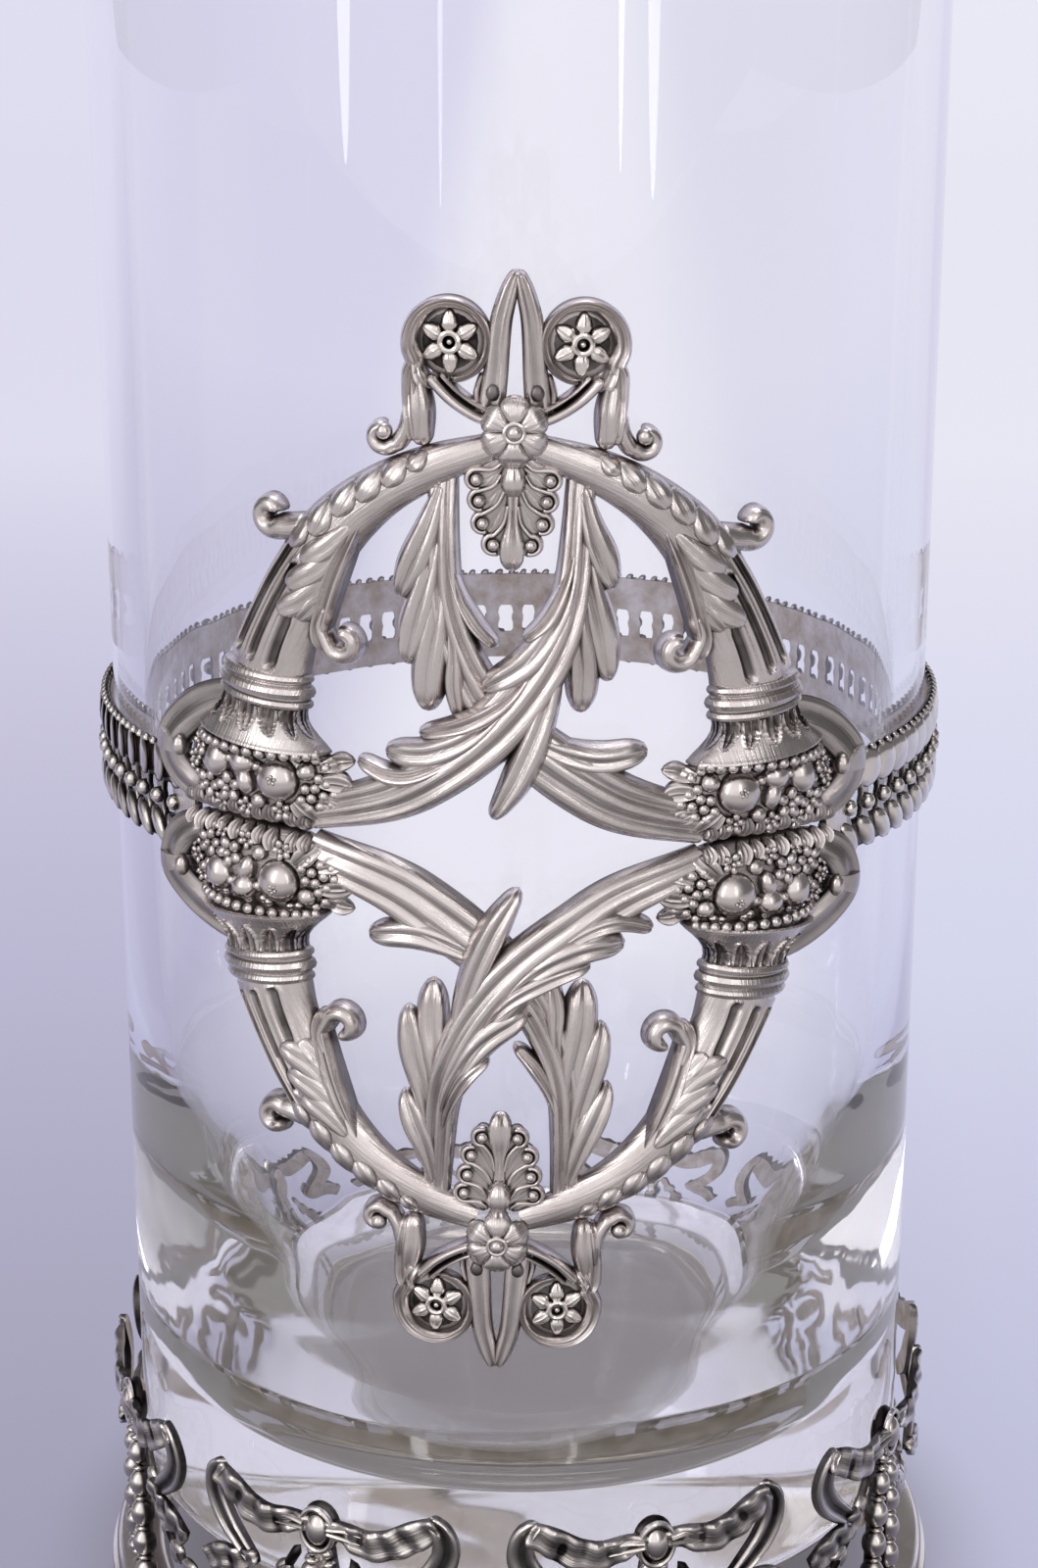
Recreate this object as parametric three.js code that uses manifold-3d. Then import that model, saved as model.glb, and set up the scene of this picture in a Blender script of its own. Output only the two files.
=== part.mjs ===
// Tall clear glass in a silver-plated openwork holder. A pierced belt and a two-part
// openwork medallion are clasped round the glass, and the glass stands in a ring of
// ribbon bows and husk swags. Millimetres, +Z up, origin on the table under the middle.
import * as THREE from 'three';
import { mergeVertices } from 'three/addons/utils/BufferGeometryUtils.js';
import Module from 'manifold-3d';

const wasm = await Module();
wasm.setup();

// Glass
const glassRadius = 60;
const glassHeight = 268;
const wallThickness = 4.2;
const lowerWallThickness = 6.4;
const thickWallHeight = 100;
const floorThickness = 11;
const floorRadius = 31;
const bowlRadius = 10;
const rimRound = 1.4;
const heelRound = 1.8;

// Clearances between pieces that touch on the real object
const fitGap = 0.3;
const mountGap = 0.4;

// Holder: foot ring, seat ring, bows and swags
const footHeight = 5.5;
const footWidth = 9;
const footOverhang = 1.8;
const footChamfer = 0.6;
const footGroove = 1.4;
const seatHeight = 22;
const seatWidth = 7;
const seatThickness = 1.8;
const seatInset = 2.6;
const lugWidth = 9;
const bowCount = 8;
const bowHeight = 35;
const bowTurn = -3;
const friezeGap = 0.8;
const swagRelief = 1.5;
const swagDroop = 20;
const ribbonThickness = 1;
const cabochonRise = 0.3;
const dropRelief = 2.5;

// Belt
const mountAboveFoot = 117;
const upperMoulding = 5.6;
const beadRow = 4.2;
const lowerMoulding = 4.6;
const beltThickness = 2.3;
const beltWeb = 0.9;
const beadPitch = 4.4;
const beadShare = 0.32;

// Medallion
const mountLean = 1.2;
const clusterEnd = 48.6;
const clusterClearance = 2.4;
const hornTop = 53.2;
const hornRelief = 4.6;
const bellRelief = 5.5;
const bellFoot = 0.75;
const fruitRelief = 3.4;
const curlRelief = 2.3;
const leafRelief = 1.6;
const leafClearance = 0.7;
const strapWidth = 1.8;
const strapRelief = 1.7;
const cuffWidth = 2.3;
const cuffRelief = 2.1;
const crestRelief = 1.8;
const voluteOffset = 8.4;
const voluteRise = 10.7;
const voluteRadius = 4.8;
const voluteWidth = 1;
const flowerRise = 2.4;
const flowerRadius = 4.1;
const petalCount = 6;
const petalThickness = 1.5;
const bossRadius = 1.2;
const palmetteDrop = 1.6;
const palmetteRelief = 2;
const palmettePlate = 0.9;

// Fineness of round shapes
const glassSegments = 52;
const ringSegments = 40;
const beltSteps = 40;

// Finishes
const clearGlass = new THREE.MeshStandardMaterial({ color: 0xe9eaf3, roughness: 0.03, metalness: 0 });
const silverPlate = new THREE.MeshStandardMaterial({ color: 0xb9b2aa, roughness: 0.32, metalness: 1 });
const agedSilver = new THREE.MeshStandardMaterial({ color: 0xa39a8e, roughness: 0.38, metalness: 1 });
const plainSilver = new THREE.MeshStandardMaterial({ color: 0xb0aca6, roughness: 0.3, metalness: 1 });

// Sizes that follow from the ones above
const mountCentre = seatHeight + mountAboveFoot;
const mountRadius = glassRadius + beltThickness;
const beltHeight = upperMoulding + beadRow + lowerMoulding;
const beltEnd = clusterEnd + clusterClearance;
const crossingLift = leafRelief + leafClearance;
const flowerHeight = hornTop + flowerRise;
const voluteHeight = flowerHeight + voluteRise;
const rosetteRadius = voluteRadius - voluteWidth - 2 * fitGap;
const friezeRadius = glassRadius + friezeGap;
const ribbonFoot = swagRelief + 2 * fitGap;
const knotRelief = ribbonFoot + ribbonThickness + cabochonRise;
const bowPitch = (2 * Math.PI) / bowCount;
const lean = THREE.MathUtils.degToRad(mountLean);

const assembly = new THREE.Group();

// A closed geometry as a solid
function solid(geometry) {
  const bare = geometry.clone();
  bare.deleteAttribute('normal');
  bare.deleteAttribute('uv');
  const merged = mergeVertices(bare, 1e-4);
  const mesh = new wasm.Mesh({
    numProp: 3,
    vertProperties: new Float32Array(merged.attributes.position.array),
    triVerts: new Uint32Array(merged.index.array),
  });
  return new wasm.Manifold(mesh);
}

function join(solids) {
  return solids.reduce((whole, piece) => whole.add(piece));
}

function trim(piece, neighbours) {
  return neighbours.reduce((left, neighbour) => left.subtract(neighbour), piece);
}

// The main body of a piece that was trimmed
function mainBody(shape) {
  const bodies = shape.decompose();
  return bodies.reduce((best, body) => (body.volume() > best.volume() ? body : best));
}

// One named sub-part of the assembly
function addNode(name, shape, material) {
  const result = shape.getMesh();
  const geometry = new THREE.BufferGeometry();
  geometry.setAttribute('position', new THREE.BufferAttribute(result.vertProperties, 3));
  geometry.setIndex(new THREE.BufferAttribute(result.triVerts, 1));
  geometry.computeVertexNormals();
  const mesh = new THREE.Mesh(geometry, material.clone());
  mesh.name = name;
  assembly.add(mesh);
}

// Moves every vertex of a geometry
function reshape(geometry, place) {
  const position = geometry.attributes.position;
  for (let i = 0; i < position.count; i += 1) {
    position.setXYZ(i, ...place(position.getX(i), position.getY(i), position.getZ(i)));
  }
  return geometry;
}

// A value that changes evenly along a list, or stays the same
function law(values, t) {
  if (typeof values === 'number') return values;
  const at = t * (values.length - 1);
  const first = Math.min(Math.floor(at), values.length - 2);
  return THREE.MathUtils.lerp(values[first], values[first + 1], at - first);
}

function scaled(shares, size) {
  return shares.map((share) => share * size);
}

function outline(points) {
  return new THREE.Shape(points.map(([x, y]) => new THREE.Vector2(x, y)));
}

// Sections of the cast ornament: one unit of half width, one unit of relief
const keeled = outline([[-1, 0], [0, 1], [1, 0]]);
const rounded = outline([[-1, 0], [-0.72, 0.68], [0, 1], [0.72, 0.68], [1, 0]]);
const flat = outline([[-1, 0], [-0.9, 0.9], [0.9, 1], [1, 0]]);
const broad = outline([[-1, 0], [-0.88, 0.5], [-0.5, 0.86], [0, 1], [0.5, 0.86], [0.88, 0.5], [1, 0]]);

// A strand of ornament laid flat (u across, v up, h out): a section carried along a path,
// with its half width, its foot and its relief as laws along the path
function strand({ section, path, half, foot = mountGap, relief, steps }, grow = 0) {
  const line = new THREE.SplineCurve(path.map(([u, v]) => new THREE.Vector2(u, v)));
  const geometry = new THREE.ExtrudeGeometry(section, { depth: 1, steps, bevelEnabled: false });
  return reshape(geometry, (x, y, t) => {
    const centre = line.getPoint(t);
    const along = line.getTangent(t);
    const across = x * (law(half, t) + grow);
    const past = grow * (2 * t - 1);
    return [
      centre.x - along.y * across + along.x * past,
      centre.y + along.x * across + along.y * past,
      law(foot, t) - grow + y * (law(relief, t) + 2 * grow),
    ];
  });
}

function ball(u, v, h, radius, sides, rings) {
  return new THREE.SphereGeometry(radius, sides, rings).rotateX(Math.PI / 2).translate(u, v, h);
}

function plate(shape, u, v, foot, thickness) {
  const settings = { depth: thickness, bevelEnabled: false };
  return new THREE.ExtrudeGeometry(shape, settings).translate(u, v, foot);
}

// Points on a curl that winds from one radius to another
function curl(u, v, fromAngle, turn, fromRadius, toRadius, count) {
  const points = [];
  for (let i = 0; i < count; i += 1) {
    const t = i / (count - 1);
    const angle = THREE.MathUtils.degToRad(fromAngle + turn * t);
    const radius = THREE.MathUtils.lerp(fromRadius, toRadius, t);
    points.push([u + radius * Math.cos(angle), v + radius * Math.sin(angle)]);
  }
  return points;
}

// Flower outline with rounded petals
function petals(radius) {
  const points = [];
  const steps = petalCount * 3;
  for (let i = 0; i < steps; i += 1) {
    const angle = (i / steps) * 2 * Math.PI;
    const reach = radius * (0.72 + 0.28 * Math.abs(Math.cos((petalCount * angle) / 2)));
    points.push([reach * Math.sin(angle), reach * Math.cos(angle)]);
  }
  return outline(points);
}

// Flat ornament bent round an upright cylinder
function bend(geometry, radius, datum, turn, height) {
  return reshape(geometry, (u, v, h) => {
    const angle = u / datum + turn;
    return [(radius + h) * Math.sin(angle), -(radius + h) * Math.cos(angle), height + v];
  });
}

function onBelt(geometry) {
  return solid(bend(geometry, glassRadius, mountRadius, 0, mountCentre));
}

// The medallion sits a little askew on the belt
function onMedallion(geometry) {
  return onBelt(reshape(geometry, (u, v, h) => [
    u * Math.cos(lean) + v * Math.sin(lean),
    v * Math.cos(lean) - u * Math.sin(lean),
    h,
  ]));
}

function onFrieze(geometry, turn) {
  return solid(bend(geometry, friezeRadius, friezeRadius + swagRelief, turn, bowHeight));
}

function turned(profile, segments) {
  const points = profile.map(([r, z]) => new THREE.Vector2(r, z));
  return solid(new THREE.LatheGeometry(points, segments).rotateX(Math.PI / 2));
}

// The vessel: straight outside, the wall thicker towards a rounded-in floor
function makeGlass() {
  const foot = seatHeight;
  const top = foot + glassHeight;
  const floor = foot + floorThickness;
  const inner = glassRadius - wallThickness;
  const lower = glassRadius - lowerWallThickness;
  const bowl = [35, 70].map((angle) => {
    const turn = THREE.MathUtils.degToRad(angle);
    return [
      lower - bowlRadius * (1 - Math.cos(turn)),
      floor + bowlRadius * (1 - Math.sin(turn)),
    ];
  });
  const profile = [
    [0, foot],
    [glassRadius - heelRound, foot],
    [glassRadius, foot + heelRound],
    [glassRadius, top - rimRound],
    [glassRadius - wallThickness / 2, top],
    [inner, top - rimRound],
    [inner, foot + thickWallHeight],
    [lower, floor + bowlRadius],
    ...bowl,
    [floorRadius, floor],
    [0, floor],
  ];
  addNode('glass_vessel', turned(profile, glassSegments), clearGlass);
}

// The pierced belt: two mouldings with a bead between them at every pitch
function makeBelt() {
  const length = 2 * Math.PI * mountRadius - 2 * beltEnd;
  const count = Math.round(length / beadPitch);
  const pitch = length / count;
  const top = beltHeight / 2;
  const beadTop = top - upperMoulding;
  const beadMiddle = beadTop - beadRow / 2;
  const web = beltWeb / beltThickness;
  const moulding = (low, high) => {
    const section = outline([[low, 0], [high, 0], [high, web], [(low + high) / 2, 1], [low, web]]);
    const settings = { depth: length, steps: beltSteps, bevelEnabled: false };
    return reshape(new THREE.ExtrudeGeometry(section, settings), (v, h, along) => (
      [beltEnd + along, v, mountGap + h * beltThickness]
    ));
  };
  const pieces = [onBelt(moulding(beadTop, top)), onBelt(moulding(-top, beadTop - beadRow))];
  for (let i = 0; i < count; i += 1) {
    const bead = ball(0, 0, 0, 1, 4, 2);
    bead.scale(pitch * beadShare, beadRow / 2 + beltWeb, beltWeb / 2);
    bead.translate(beltEnd + pitch * (i + 0.5), beadMiddle, mountGap + beltWeb / 2);
    pieces.push(onBelt(bead));
  }
  addNode('belt_strip', join(pieces), agedSilver);
}

// The medallion's upper half is given below. The lower half is the same, turned half round.
const halves = [{ name: 'upper', turn: 1 }, { name: 'lower', turn: -1 }];
const sides = [1, -1];

function sideName(half, side) {
  return half.turn * side > 0 ? 'right' : 'left';
}

function placed(half, side, path) {
  return path.map(([u, v]) => [half.turn * side * u, half.turn * v]);
}

function cast(half, side, strands, grow = 0) {
  return join(strands.map((one) => (
    onMedallion(strand({ ...one, path: placed(half, side, one.path) }, grow))
  )));
}

// Horn with a leaf that curls inwards and a tendril that curls outwards
function horn(half, side, grow) {
  return cast(half, side, [
    {
      section: rounded,
      path: [
        [3.2, hornTop], [10.4, hornTop - 2.9], [17.4, hornTop - 7.2], [23.6, 40.4], [28.6, 33.8], [31.8, 27.4],
        [33.9, 22.2],
      ],
      half: [1.8, 2.7, 3.5, 4.4, 5, 5.6, 6.5],
      relief: scaled([0.34, 0.46, 0.6, 0.72, 0.84, 0.94, 1], hornRelief),
      steps: 7,
    },
    {
      section: keeled,
      path: [[19.6, 40.6], [23, 35.6], [24.4, 31], ...curl(22.3, 26.5, 20, -290, 2.1, 0.9, 6)],
      half: [1.2, 2.4, 1.8, 1.1, 1, 0.9, 0.8, 0.7, 0.6],
      relief: curlRelief,
      steps: 8,
    },
    {
      section: keeled,
      path: [[28.6, 40.4], [31, 41], ...curl(33.2, 43, -100, 290, 2, 0.8, 6)],
      half: [1.8, 1.4, 1.1, 1, 0.9, 0.8, 0.7, 0.6],
      relief: curlRelief,
      steps: 7,
    },
  ], grow);
}

// Ringed collar and flaring mouth of the horn
function bell(half, side, grow) {
  return cast(half, side, [{
    section: broad,
    path: [
      [34, 21.7], [34.1, 20.6], [34.2, 19.5], [34.2, 18.4], [34.3, 17.3], [34.4, 16.2], [34.5, 15.1],
      [34.8, 13.4], [35.3, 11.9], [35.6, 11], [35.7, 10.2],
    ],
    half: [7, 7.4, 7, 7.5, 7, 7.3, 6.8, 7.4, 9.4, 11, 11],
    foot: mountGap + bellFoot,
    relief: scaled([0.8, 0.86, 0.8, 0.88, 0.8, 0.85, 0.76, 0.8, 0.94, 1, 1], bellRelief),
    steps: 10,
  }], grow);
}

// Fruit heaped at the horn's mouth
function fruit(half, side, grow) {
  const heap = cast(half, side, [{
    section: broad,
    path: [[23.4, 5.6], [29, 5.2], [36, 5], [42, 4.9], [clusterEnd, 4.8]],
    half: [3, 4.3, 4.5, 4.4, 3.4],
    relief: scaled([0.6, 0.9, 1, 0.9, 0.6], fruitRelief),
    steps: 4,
  }], grow);
  const places = [[28.4, 5.2], [33.3, 5.3], [38.6, 5.6], [43.6, 5.4]];
  const radii = [2.1, 2.8, 2.4, 2.2];
  const balls = placed(half, side, places).map(([u, v], i) => (
    onMedallion(ball(u, v, fruitRelief - fitGap, radii[i] + grow, 5, 4))
  ));
  return join([heap, ...balls]);
}

// Strap from the bell's shoulder, over the belt's end and back to the fruit
function strap(half, side) {
  const overBelt = mountGap + beltThickness + fitGap;
  const rise = (mountGap + overBelt) / 2;
  return cast(half, side, [
    {
      section: keeled,
      path: [[41, 17.3], [48.6, 16.8], [54.4, 13.4], [56.6, 8.6], [54.6, 4], [48, 1.6]],
      half: strapWidth,
      foot: [mountGap, mountGap, rise, overBelt, overBelt, overBelt],
      relief: strapRelief,
      steps: 9,
    },
    {
      section: keeled,
      path: [[56.3, 10.6], [56.6, 8.6], [56.2, 6.6]],
      half: cuffWidth,
      foot: overBelt,
      relief: cuffRelief,
      steps: 2,
    },
  ]);
}

// A leaf is a rib with pointed lobes. Lift says how far each place stands over the other leaf.
function leaf(half, rib, lobes, grow) {
  const foot = (lift) => scaled(lift, crossingLift).map((height) => mountGap + height);
  return cast(half, 1, [
    { section: rounded, path: rib.path, half: rib.half, foot: foot(rib.lift), relief: leafRelief, steps: 10 },
    ...lobes.map(({ path, width, lift }) => ({
      section: keeled,
      path,
      half: scaled([0.6, 1, 0.3], width),
      foot: foot(lift),
      relief: leafRelief,
      steps: 2,
    })),
  ], grow);
}

const level = [0, 0];
const raised = [1, 1];

function overLeaf(half, grow) {
  const rib = {
    path: [
      [8.6, 47], [8.2, 40.5], [7.8, 35.5], [6.2, 29.6], [3, 23.2], [-2, 16.8], [-8.6, 11.2], [-15.6, 6.4],
      [-24.4, 3],
    ],
    half: [2, 2.2, 2.5, 3, 3.6, 4, 4, 3.6, 2.8],
    lift: [0, 0, 0.45, 1, 1, 1, 1, 0.45, 0],
  };
  return leaf(half, rib, [
    { path: [[6, 34.4], [4.2, 31.2], [1.6, 28.6]], width: 1.3, lift: raised },
    { path: [[5, 29.4], [1.6, 25], [-3.4, 21.8]], width: 2, lift: raised },
    { path: [[0, 19.4], [-6, 17], [-11.8, 15.4]], width: 1.5, lift: [1, 1, 0.45] },
    { path: [[-3.6, 15.6], [-10, 13], [-16.4, 12.6]], width: 2, lift: [1, 1, 0.45] },
    { path: [[-10, 11], [-15.4, 9.8], [-20.4, 11.2]], width: 1.4, lift: [1, 0.45, 0] },
    { path: [[9.2, 45.6], [11.6, 40.4], [13.6, 35]], width: 1.6, lift: level },
    { path: [[9.4, 37], [12.2, 30], [13.3, 22.6]], width: 1.5, lift: level },
    { path: [[8, 32.6], [9.8, 25.6], [9.7, 18.6]], width: 2, lift: [0.45, 0] },
    { path: [[5.6, 20], [2.2, 11.6], [-1.9, 4.6]], width: 2.2, lift: raised },
  ], grow);
}

function underLeaf(half, grow) {
  const rib = {
    path: [
      [-8.8, 47], [-8.9, 40.4], [-8.5, 33.6], [-6.6, 27], [-3, 20.4], [2.6, 14.4], [9.4, 9.4], [16, 5.8],
      [24.2, 3.2],
    ],
    half: [2, 2.2, 2.4, 2.7, 3.4, 4, 4.3, 4, 3],
    lift: level,
  };
  return leaf(half, rib, [
    { path: [[-9.4, 45.6], [-12.6, 39.6], [-15, 33]], width: 1.6, lift: level },
    { path: [[-10, 38.6], [-12.6, 31.4], [-13.7, 24.2]], width: 1.6, lift: level },
    { path: [[-9, 33.4], [-10.6, 25.8], [-10.9, 18.2]], width: 2, lift: level },
    { path: [[-6.4, 26.4], [-6.9, 21.8], [-6.2, 17.6]], width: 1.6, lift: level },
    { path: [[-6.6, 34.6], [-4.6, 30.4], [-1.7, 27.2]], width: 1.3, lift: level },
    { path: [[4.8, 14.6], [11.5, 12.4], [18.8, 13.2]], width: 1.9, lift: level },
  ], grow);
}

// Crest: pointed loop between two volutes, on arms that rise from the flower
function crestSide(half, side) {
  const base = flowerHeight + 0.8;
  const joint = [voluteOffset + 3.2, voluteHeight - 4.1];
  const fromJoint = ([u, v]) => [joint[0] + u, joint[1] + v];
  return cast(half, side, [
    {
      section: keeled,
      path: [
        [2.6, base], [3.6, voluteHeight - 3.9], [3.1, voluteHeight + 1.1], [1.7, voluteHeight + 5.1],
        [0, voluteHeight + 7.7],
      ],
      half: [1.7, 1.5, 1.3, 1.1, 0.7],
      relief: crestRelief,
      steps: 4,
    },
    {
      section: keeled,
      path: curl(voluteOffset, voluteHeight, -67, 330, voluteRadius * 1.08, voluteRadius * 0.92, 11),
      half: scaled([1, 1, 0.75, 0.65, 0.5], voluteWidth),
      relief: crestRelief,
      steps: 10,
    },
    {
      section: keeled,
      path: [[2, base], [7.2, (base + joint[1]) / 2 - 0.7], joint],
      half: [0.8, 0.9, 1.1],
      relief: crestRelief,
      steps: 3,
    },
    {
      section: keeled,
      path: [[0, 0], [1.4, -2.8], [1.6, -5.8], [0.8, -9]].map(fromJoint),
      half: [0.8, 1.5, 1.3, 0.5],
      relief: crestRelief,
      steps: 3,
    },
    {
      section: keeled,
      path: [[1.6, -4.2], [2.6, -7.4], [4.4, -9], [6.4, -8.8], [7.2, -7.2], [6, -6.2]].map(fromJoint),
      half: [0.8, 0.8, 0.7, 0.7],
      relief: crestRelief,
      steps: 6,
    },
  ]);
}

// Six-petal flower with a boss
function bloom(radius, u, v, foot, grow) {
  return join([
    plate(petals(radius + grow), u, v, foot - grow, petalThickness + 2 * grow),
    ball(u, v, foot + petalThickness, bossRadius + grow, 6, 4),
  ].map(onMedallion));
}

// Palmette pendant: a scalloped fan with a bar down the middle
function palmette(half) {
  const top = hornTop - palmetteDrop;
  const fan = [
    [5.6, -0.8], [6.3, -2.4], [5.4, -3.8], [5.9, -5.2], [4.9, -6.6], [5.2, -8.2], [4, -9.4], [3.7, -11.3],
    [1.7, -12.2],
  ];
  const edge = [[0, 0], ...fan, ...fan.map(([u, v]) => [-u, v]).reverse()].map(([u, v]) => [u, top + v]);
  const bar = {
    section: rounded,
    path: [[0, top - 0.6], [0, top - 5], [0, top - 8.6], [0, top - 12.2], [0, top - 15]],
    half: [1.6, 1.5, 0.7, 1.6, 0.4],
    relief: palmetteRelief,
    steps: 5,
  };
  return join([
    onMedallion(plate(outline(placed(half, 1, edge)), 0, 0, mountGap, palmettePlate)),
    cast(half, 1, [bar]),
  ]);
}

// Pieces that lie over others keep their shape, and the others are trimmed round them
function makeMedallionHalf(half) {
  const grown = sides.flatMap((side) => [horn, bell, fruit].map((make) => make(half, side, fitGap)));
  for (const side of sides) {
    const where = `${half.name}_`;
    const which = `_${sideName(half, side)}`;
    const mouth = [bell(half, side, 2 * fitGap)];
    const [volute] = placed(half, side, [[voluteOffset, voluteHeight]]);
    addNode(`${where}horn${which}`, mainBody(trim(horn(half, side, 0), mouth)), silverPlate);
    addNode(`${where}bell${which}`, bell(half, side, 0), silverPlate);
    addNode(`${where}fruit${which}`, mainBody(trim(fruit(half, side, 0), mouth)), silverPlate);
    addNode(`${where}strap${which}`, mainBody(trim(strap(half, side), grown)), silverPlate);
    addNode(`${where}rosette${which}`, bloom(rosetteRadius, ...volute, mountGap, 0), agedSilver);
  }
  const over = overLeaf(half, fitGap);
  const under = underLeaf(half, fitGap);
  addNode(`${half.name}_leaf_over`, mainBody(trim(overLeaf(half, 0), grown)), silverPlate);
  addNode(`${half.name}_leaf_under`, mainBody(trim(underLeaf(half, 0), [...grown, over])), silverPlate);

  const crest = join(sides.map((side) => crestSide(half, side)));
  addNode(`${half.name}_crest`, mainBody(trim(crest, grown)), silverPlate);

  const flowerFoot = mountGap + crestRelief + fitGap;
  const flower = (grow) => bloom(flowerRadius, 0, half.turn * flowerHeight, flowerFoot, grow);
  addNode(`${half.name}_flower`, flower(0), silverPlate);

  const round = [...grown, flower(fitGap), over, under];
  addNode(`${half.name}_palmette`, mainBody(trim(palmette(half), round)), silverPlate);
}

function bowAngle(index) {
  return THREE.MathUtils.degToRad(bowTurn) + bowPitch * (index + 0.5);
}

// Oval cabochon in its frame, where a bow is tied
function knot(grow) {
  return strand({
    section: rounded,
    path: [[0, -4.2], [0, -2.2], [0, 2.2], [0, 4.2]],
    half: [1.2, 3.4, 3.4, 1.2],
    foot: fitGap,
    relief: knotRelief - fitGap,
    steps: 3,
  }, grow);
}

// String of husks that hangs from a knot and stands on the foot ring
function drop(side, grow) {
  const length = bowHeight - footHeight - fitGap;
  return strand({
    section: keeled,
    path: [[side, -2], [2.2 * side, -length * 0.4], [3 * side, -length * 0.7], [3.6 * side, -length]],
    half: [1, 1.7, 1, 1.7, 1, 1.6, 1.2],
    foot: fitGap,
    relief: dropRelief,
    steps: 6,
  }, grow);
}

// Ribbon bow with its cabochon and its two drops
function makeBow(index) {
  const pieces = [knot(0)];
  for (const side of sides) {
    const loop = [
      [1.5, 0.4], [6, -0.8], [11, 1], [15.6, 3.4], [17.6, 2.6], [17.6, -0.8], [13.6, -4.6], [9.8, -8.6],
    ];
    const tail = [[9.6, -7.4], [12.4, -9.8], [16, -10.2], [18.6, -12.8]];
    const mirrored = (path) => path.map(([u, v]) => [side * u, v]);
    const ribbon = { section: flat, foot: ribbonFoot, relief: ribbonThickness };
    pieces.push(
      drop(side, 0),
      strand({ ...ribbon, path: mirrored(loop), half: [1.2, 1.7, 1.8, 1.4, 0.8, 1.2, 1.4, 1.2], steps: 8 }),
      strand({ ...ribbon, path: mirrored(tail), half: [1, 1.4, 1.5, 1], steps: 3 }),
    );
  }
  const bow = join(pieces.map((piece) => onFrieze(piece, bowAngle(index))));
  addNode(`stand_bow_${index + 1}`, bow, agedSilver);
}

// Husk swag that hangs behind two bows, from one knot to the next
function makeSwag(index) {
  const span = bowPitch * (friezeRadius + swagRelief);
  const start = [4.2, -4.8];
  const swag = strand({
    section: keeled,
    path: [
      start, [span * 0.17, -swagDroop * 0.55], [span * 0.32, -swagDroop * 0.88], [span / 2, -swagDroop],
      [span * 0.68, -swagDroop * 0.88], [span * 0.83, -swagDroop * 0.55], [span - start[0], start[1]],
    ],
    half: [0.8, 1.8, 1, 2.1, 1.1, 2.3, 1.2, 2.3, 1.1, 2.1, 1, 1.8, 0.8],
    foot: fitGap,
    relief: swagRelief - fitGap,
    steps: 12,
  });
  const tied = [
    onFrieze(knot(fitGap), bowAngle(index)),
    onFrieze(drop(1, fitGap), bowAngle(index)),
    onFrieze(knot(fitGap), bowAngle(index + 1)),
    onFrieze(drop(-1, fitGap), bowAngle(index + 1)),
  ];
  addNode(`stand_swag_${index + 1}`, mainBody(trim(onFrieze(swag, bowAngle(index)), tied)), agedSilver);
}

// What carries the glass: a seat ring with a lug behind the drops of each bow
function makeSeat() {
  const top = seatHeight - fitGap;
  const bottom = top - seatThickness;
  const outer = glassRadius - seatInset;
  const inner = outer - seatWidth;
  const pieces = [
    turned([[inner, bottom], [outer, bottom], [outer, top], [inner, top], [inner, bottom]], ringSegments),
  ];
  const reach = friezeRadius - (inner + outer) / 2;
  for (let i = 0; i < bowCount; i += 1) {
    const lug = new THREE.BoxGeometry(lugWidth, reach, seatThickness * 0.8);
    lug.translate(0, reach / 2 - friezeRadius, (top + bottom) / 2);
    pieces.push(solid(lug.rotateZ(bowAngle(i))));
  }
  addNode('stand_seat_ring', join(pieces), plainSilver);
}

// Moulded ring that stands on the table
function makeFoot() {
  const outer = friezeRadius + knotRelief + footOverhang;
  const inner = outer - footWidth;
  const profile = [
    [inner, 0],
    [outer - footChamfer, 0],
    [outer, footHeight * 0.2],
    [outer, footHeight * 0.5],
    [outer - footGroove, footHeight * 0.72],
    [outer - footGroove, footHeight],
    [inner + footGroove, footHeight],
    [inner, footHeight * 0.7],
    [inner, 0],
  ];
  addNode('stand_foot_ring', turned(profile, ringSegments), plainSilver);
}

makeGlass();
makeBelt();
halves.forEach(makeMedallionHalf);
for (let i = 0; i < bowCount; i += 1) {
  makeBow(i);
  makeSwag(i);
}
makeSeat();
makeFoot();

export default assembly;
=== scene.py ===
"""Looks of a tall clear glass in a silver-plated holder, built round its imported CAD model."""

import math

import bmesh
import bpy
import numpy as np
from mathutils import Matrix, Vector


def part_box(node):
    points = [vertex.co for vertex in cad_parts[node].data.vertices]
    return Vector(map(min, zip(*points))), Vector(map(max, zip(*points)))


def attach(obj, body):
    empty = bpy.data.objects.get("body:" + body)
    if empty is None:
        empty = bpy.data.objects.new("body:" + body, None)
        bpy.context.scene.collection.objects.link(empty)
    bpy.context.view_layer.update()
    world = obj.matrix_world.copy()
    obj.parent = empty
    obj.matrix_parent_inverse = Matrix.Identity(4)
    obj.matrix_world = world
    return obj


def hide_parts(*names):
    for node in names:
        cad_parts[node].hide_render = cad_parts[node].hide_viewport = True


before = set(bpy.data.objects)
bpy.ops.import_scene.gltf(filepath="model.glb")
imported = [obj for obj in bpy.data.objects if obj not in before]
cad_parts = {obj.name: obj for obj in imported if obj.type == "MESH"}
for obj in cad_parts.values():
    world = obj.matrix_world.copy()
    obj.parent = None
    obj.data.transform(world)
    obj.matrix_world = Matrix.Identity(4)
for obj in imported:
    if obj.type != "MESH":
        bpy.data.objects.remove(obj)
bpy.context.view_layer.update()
GLASS_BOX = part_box("glass_vessel")
FOOT_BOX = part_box("stand_foot_ring")
SEAT_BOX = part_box("stand_seat_ring")

bl_info = {
    "name": "Glass in a silver holder",
    "version": (1, 0, 0),
    "blender": (4, 5, 0),
    "location": "3D View > Sidebar > Glass holder",
    "description": "Builds the glass, its openwork mount and its ribbon stand in the CAD frame",
    "category": "Add Mesh",
}


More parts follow.
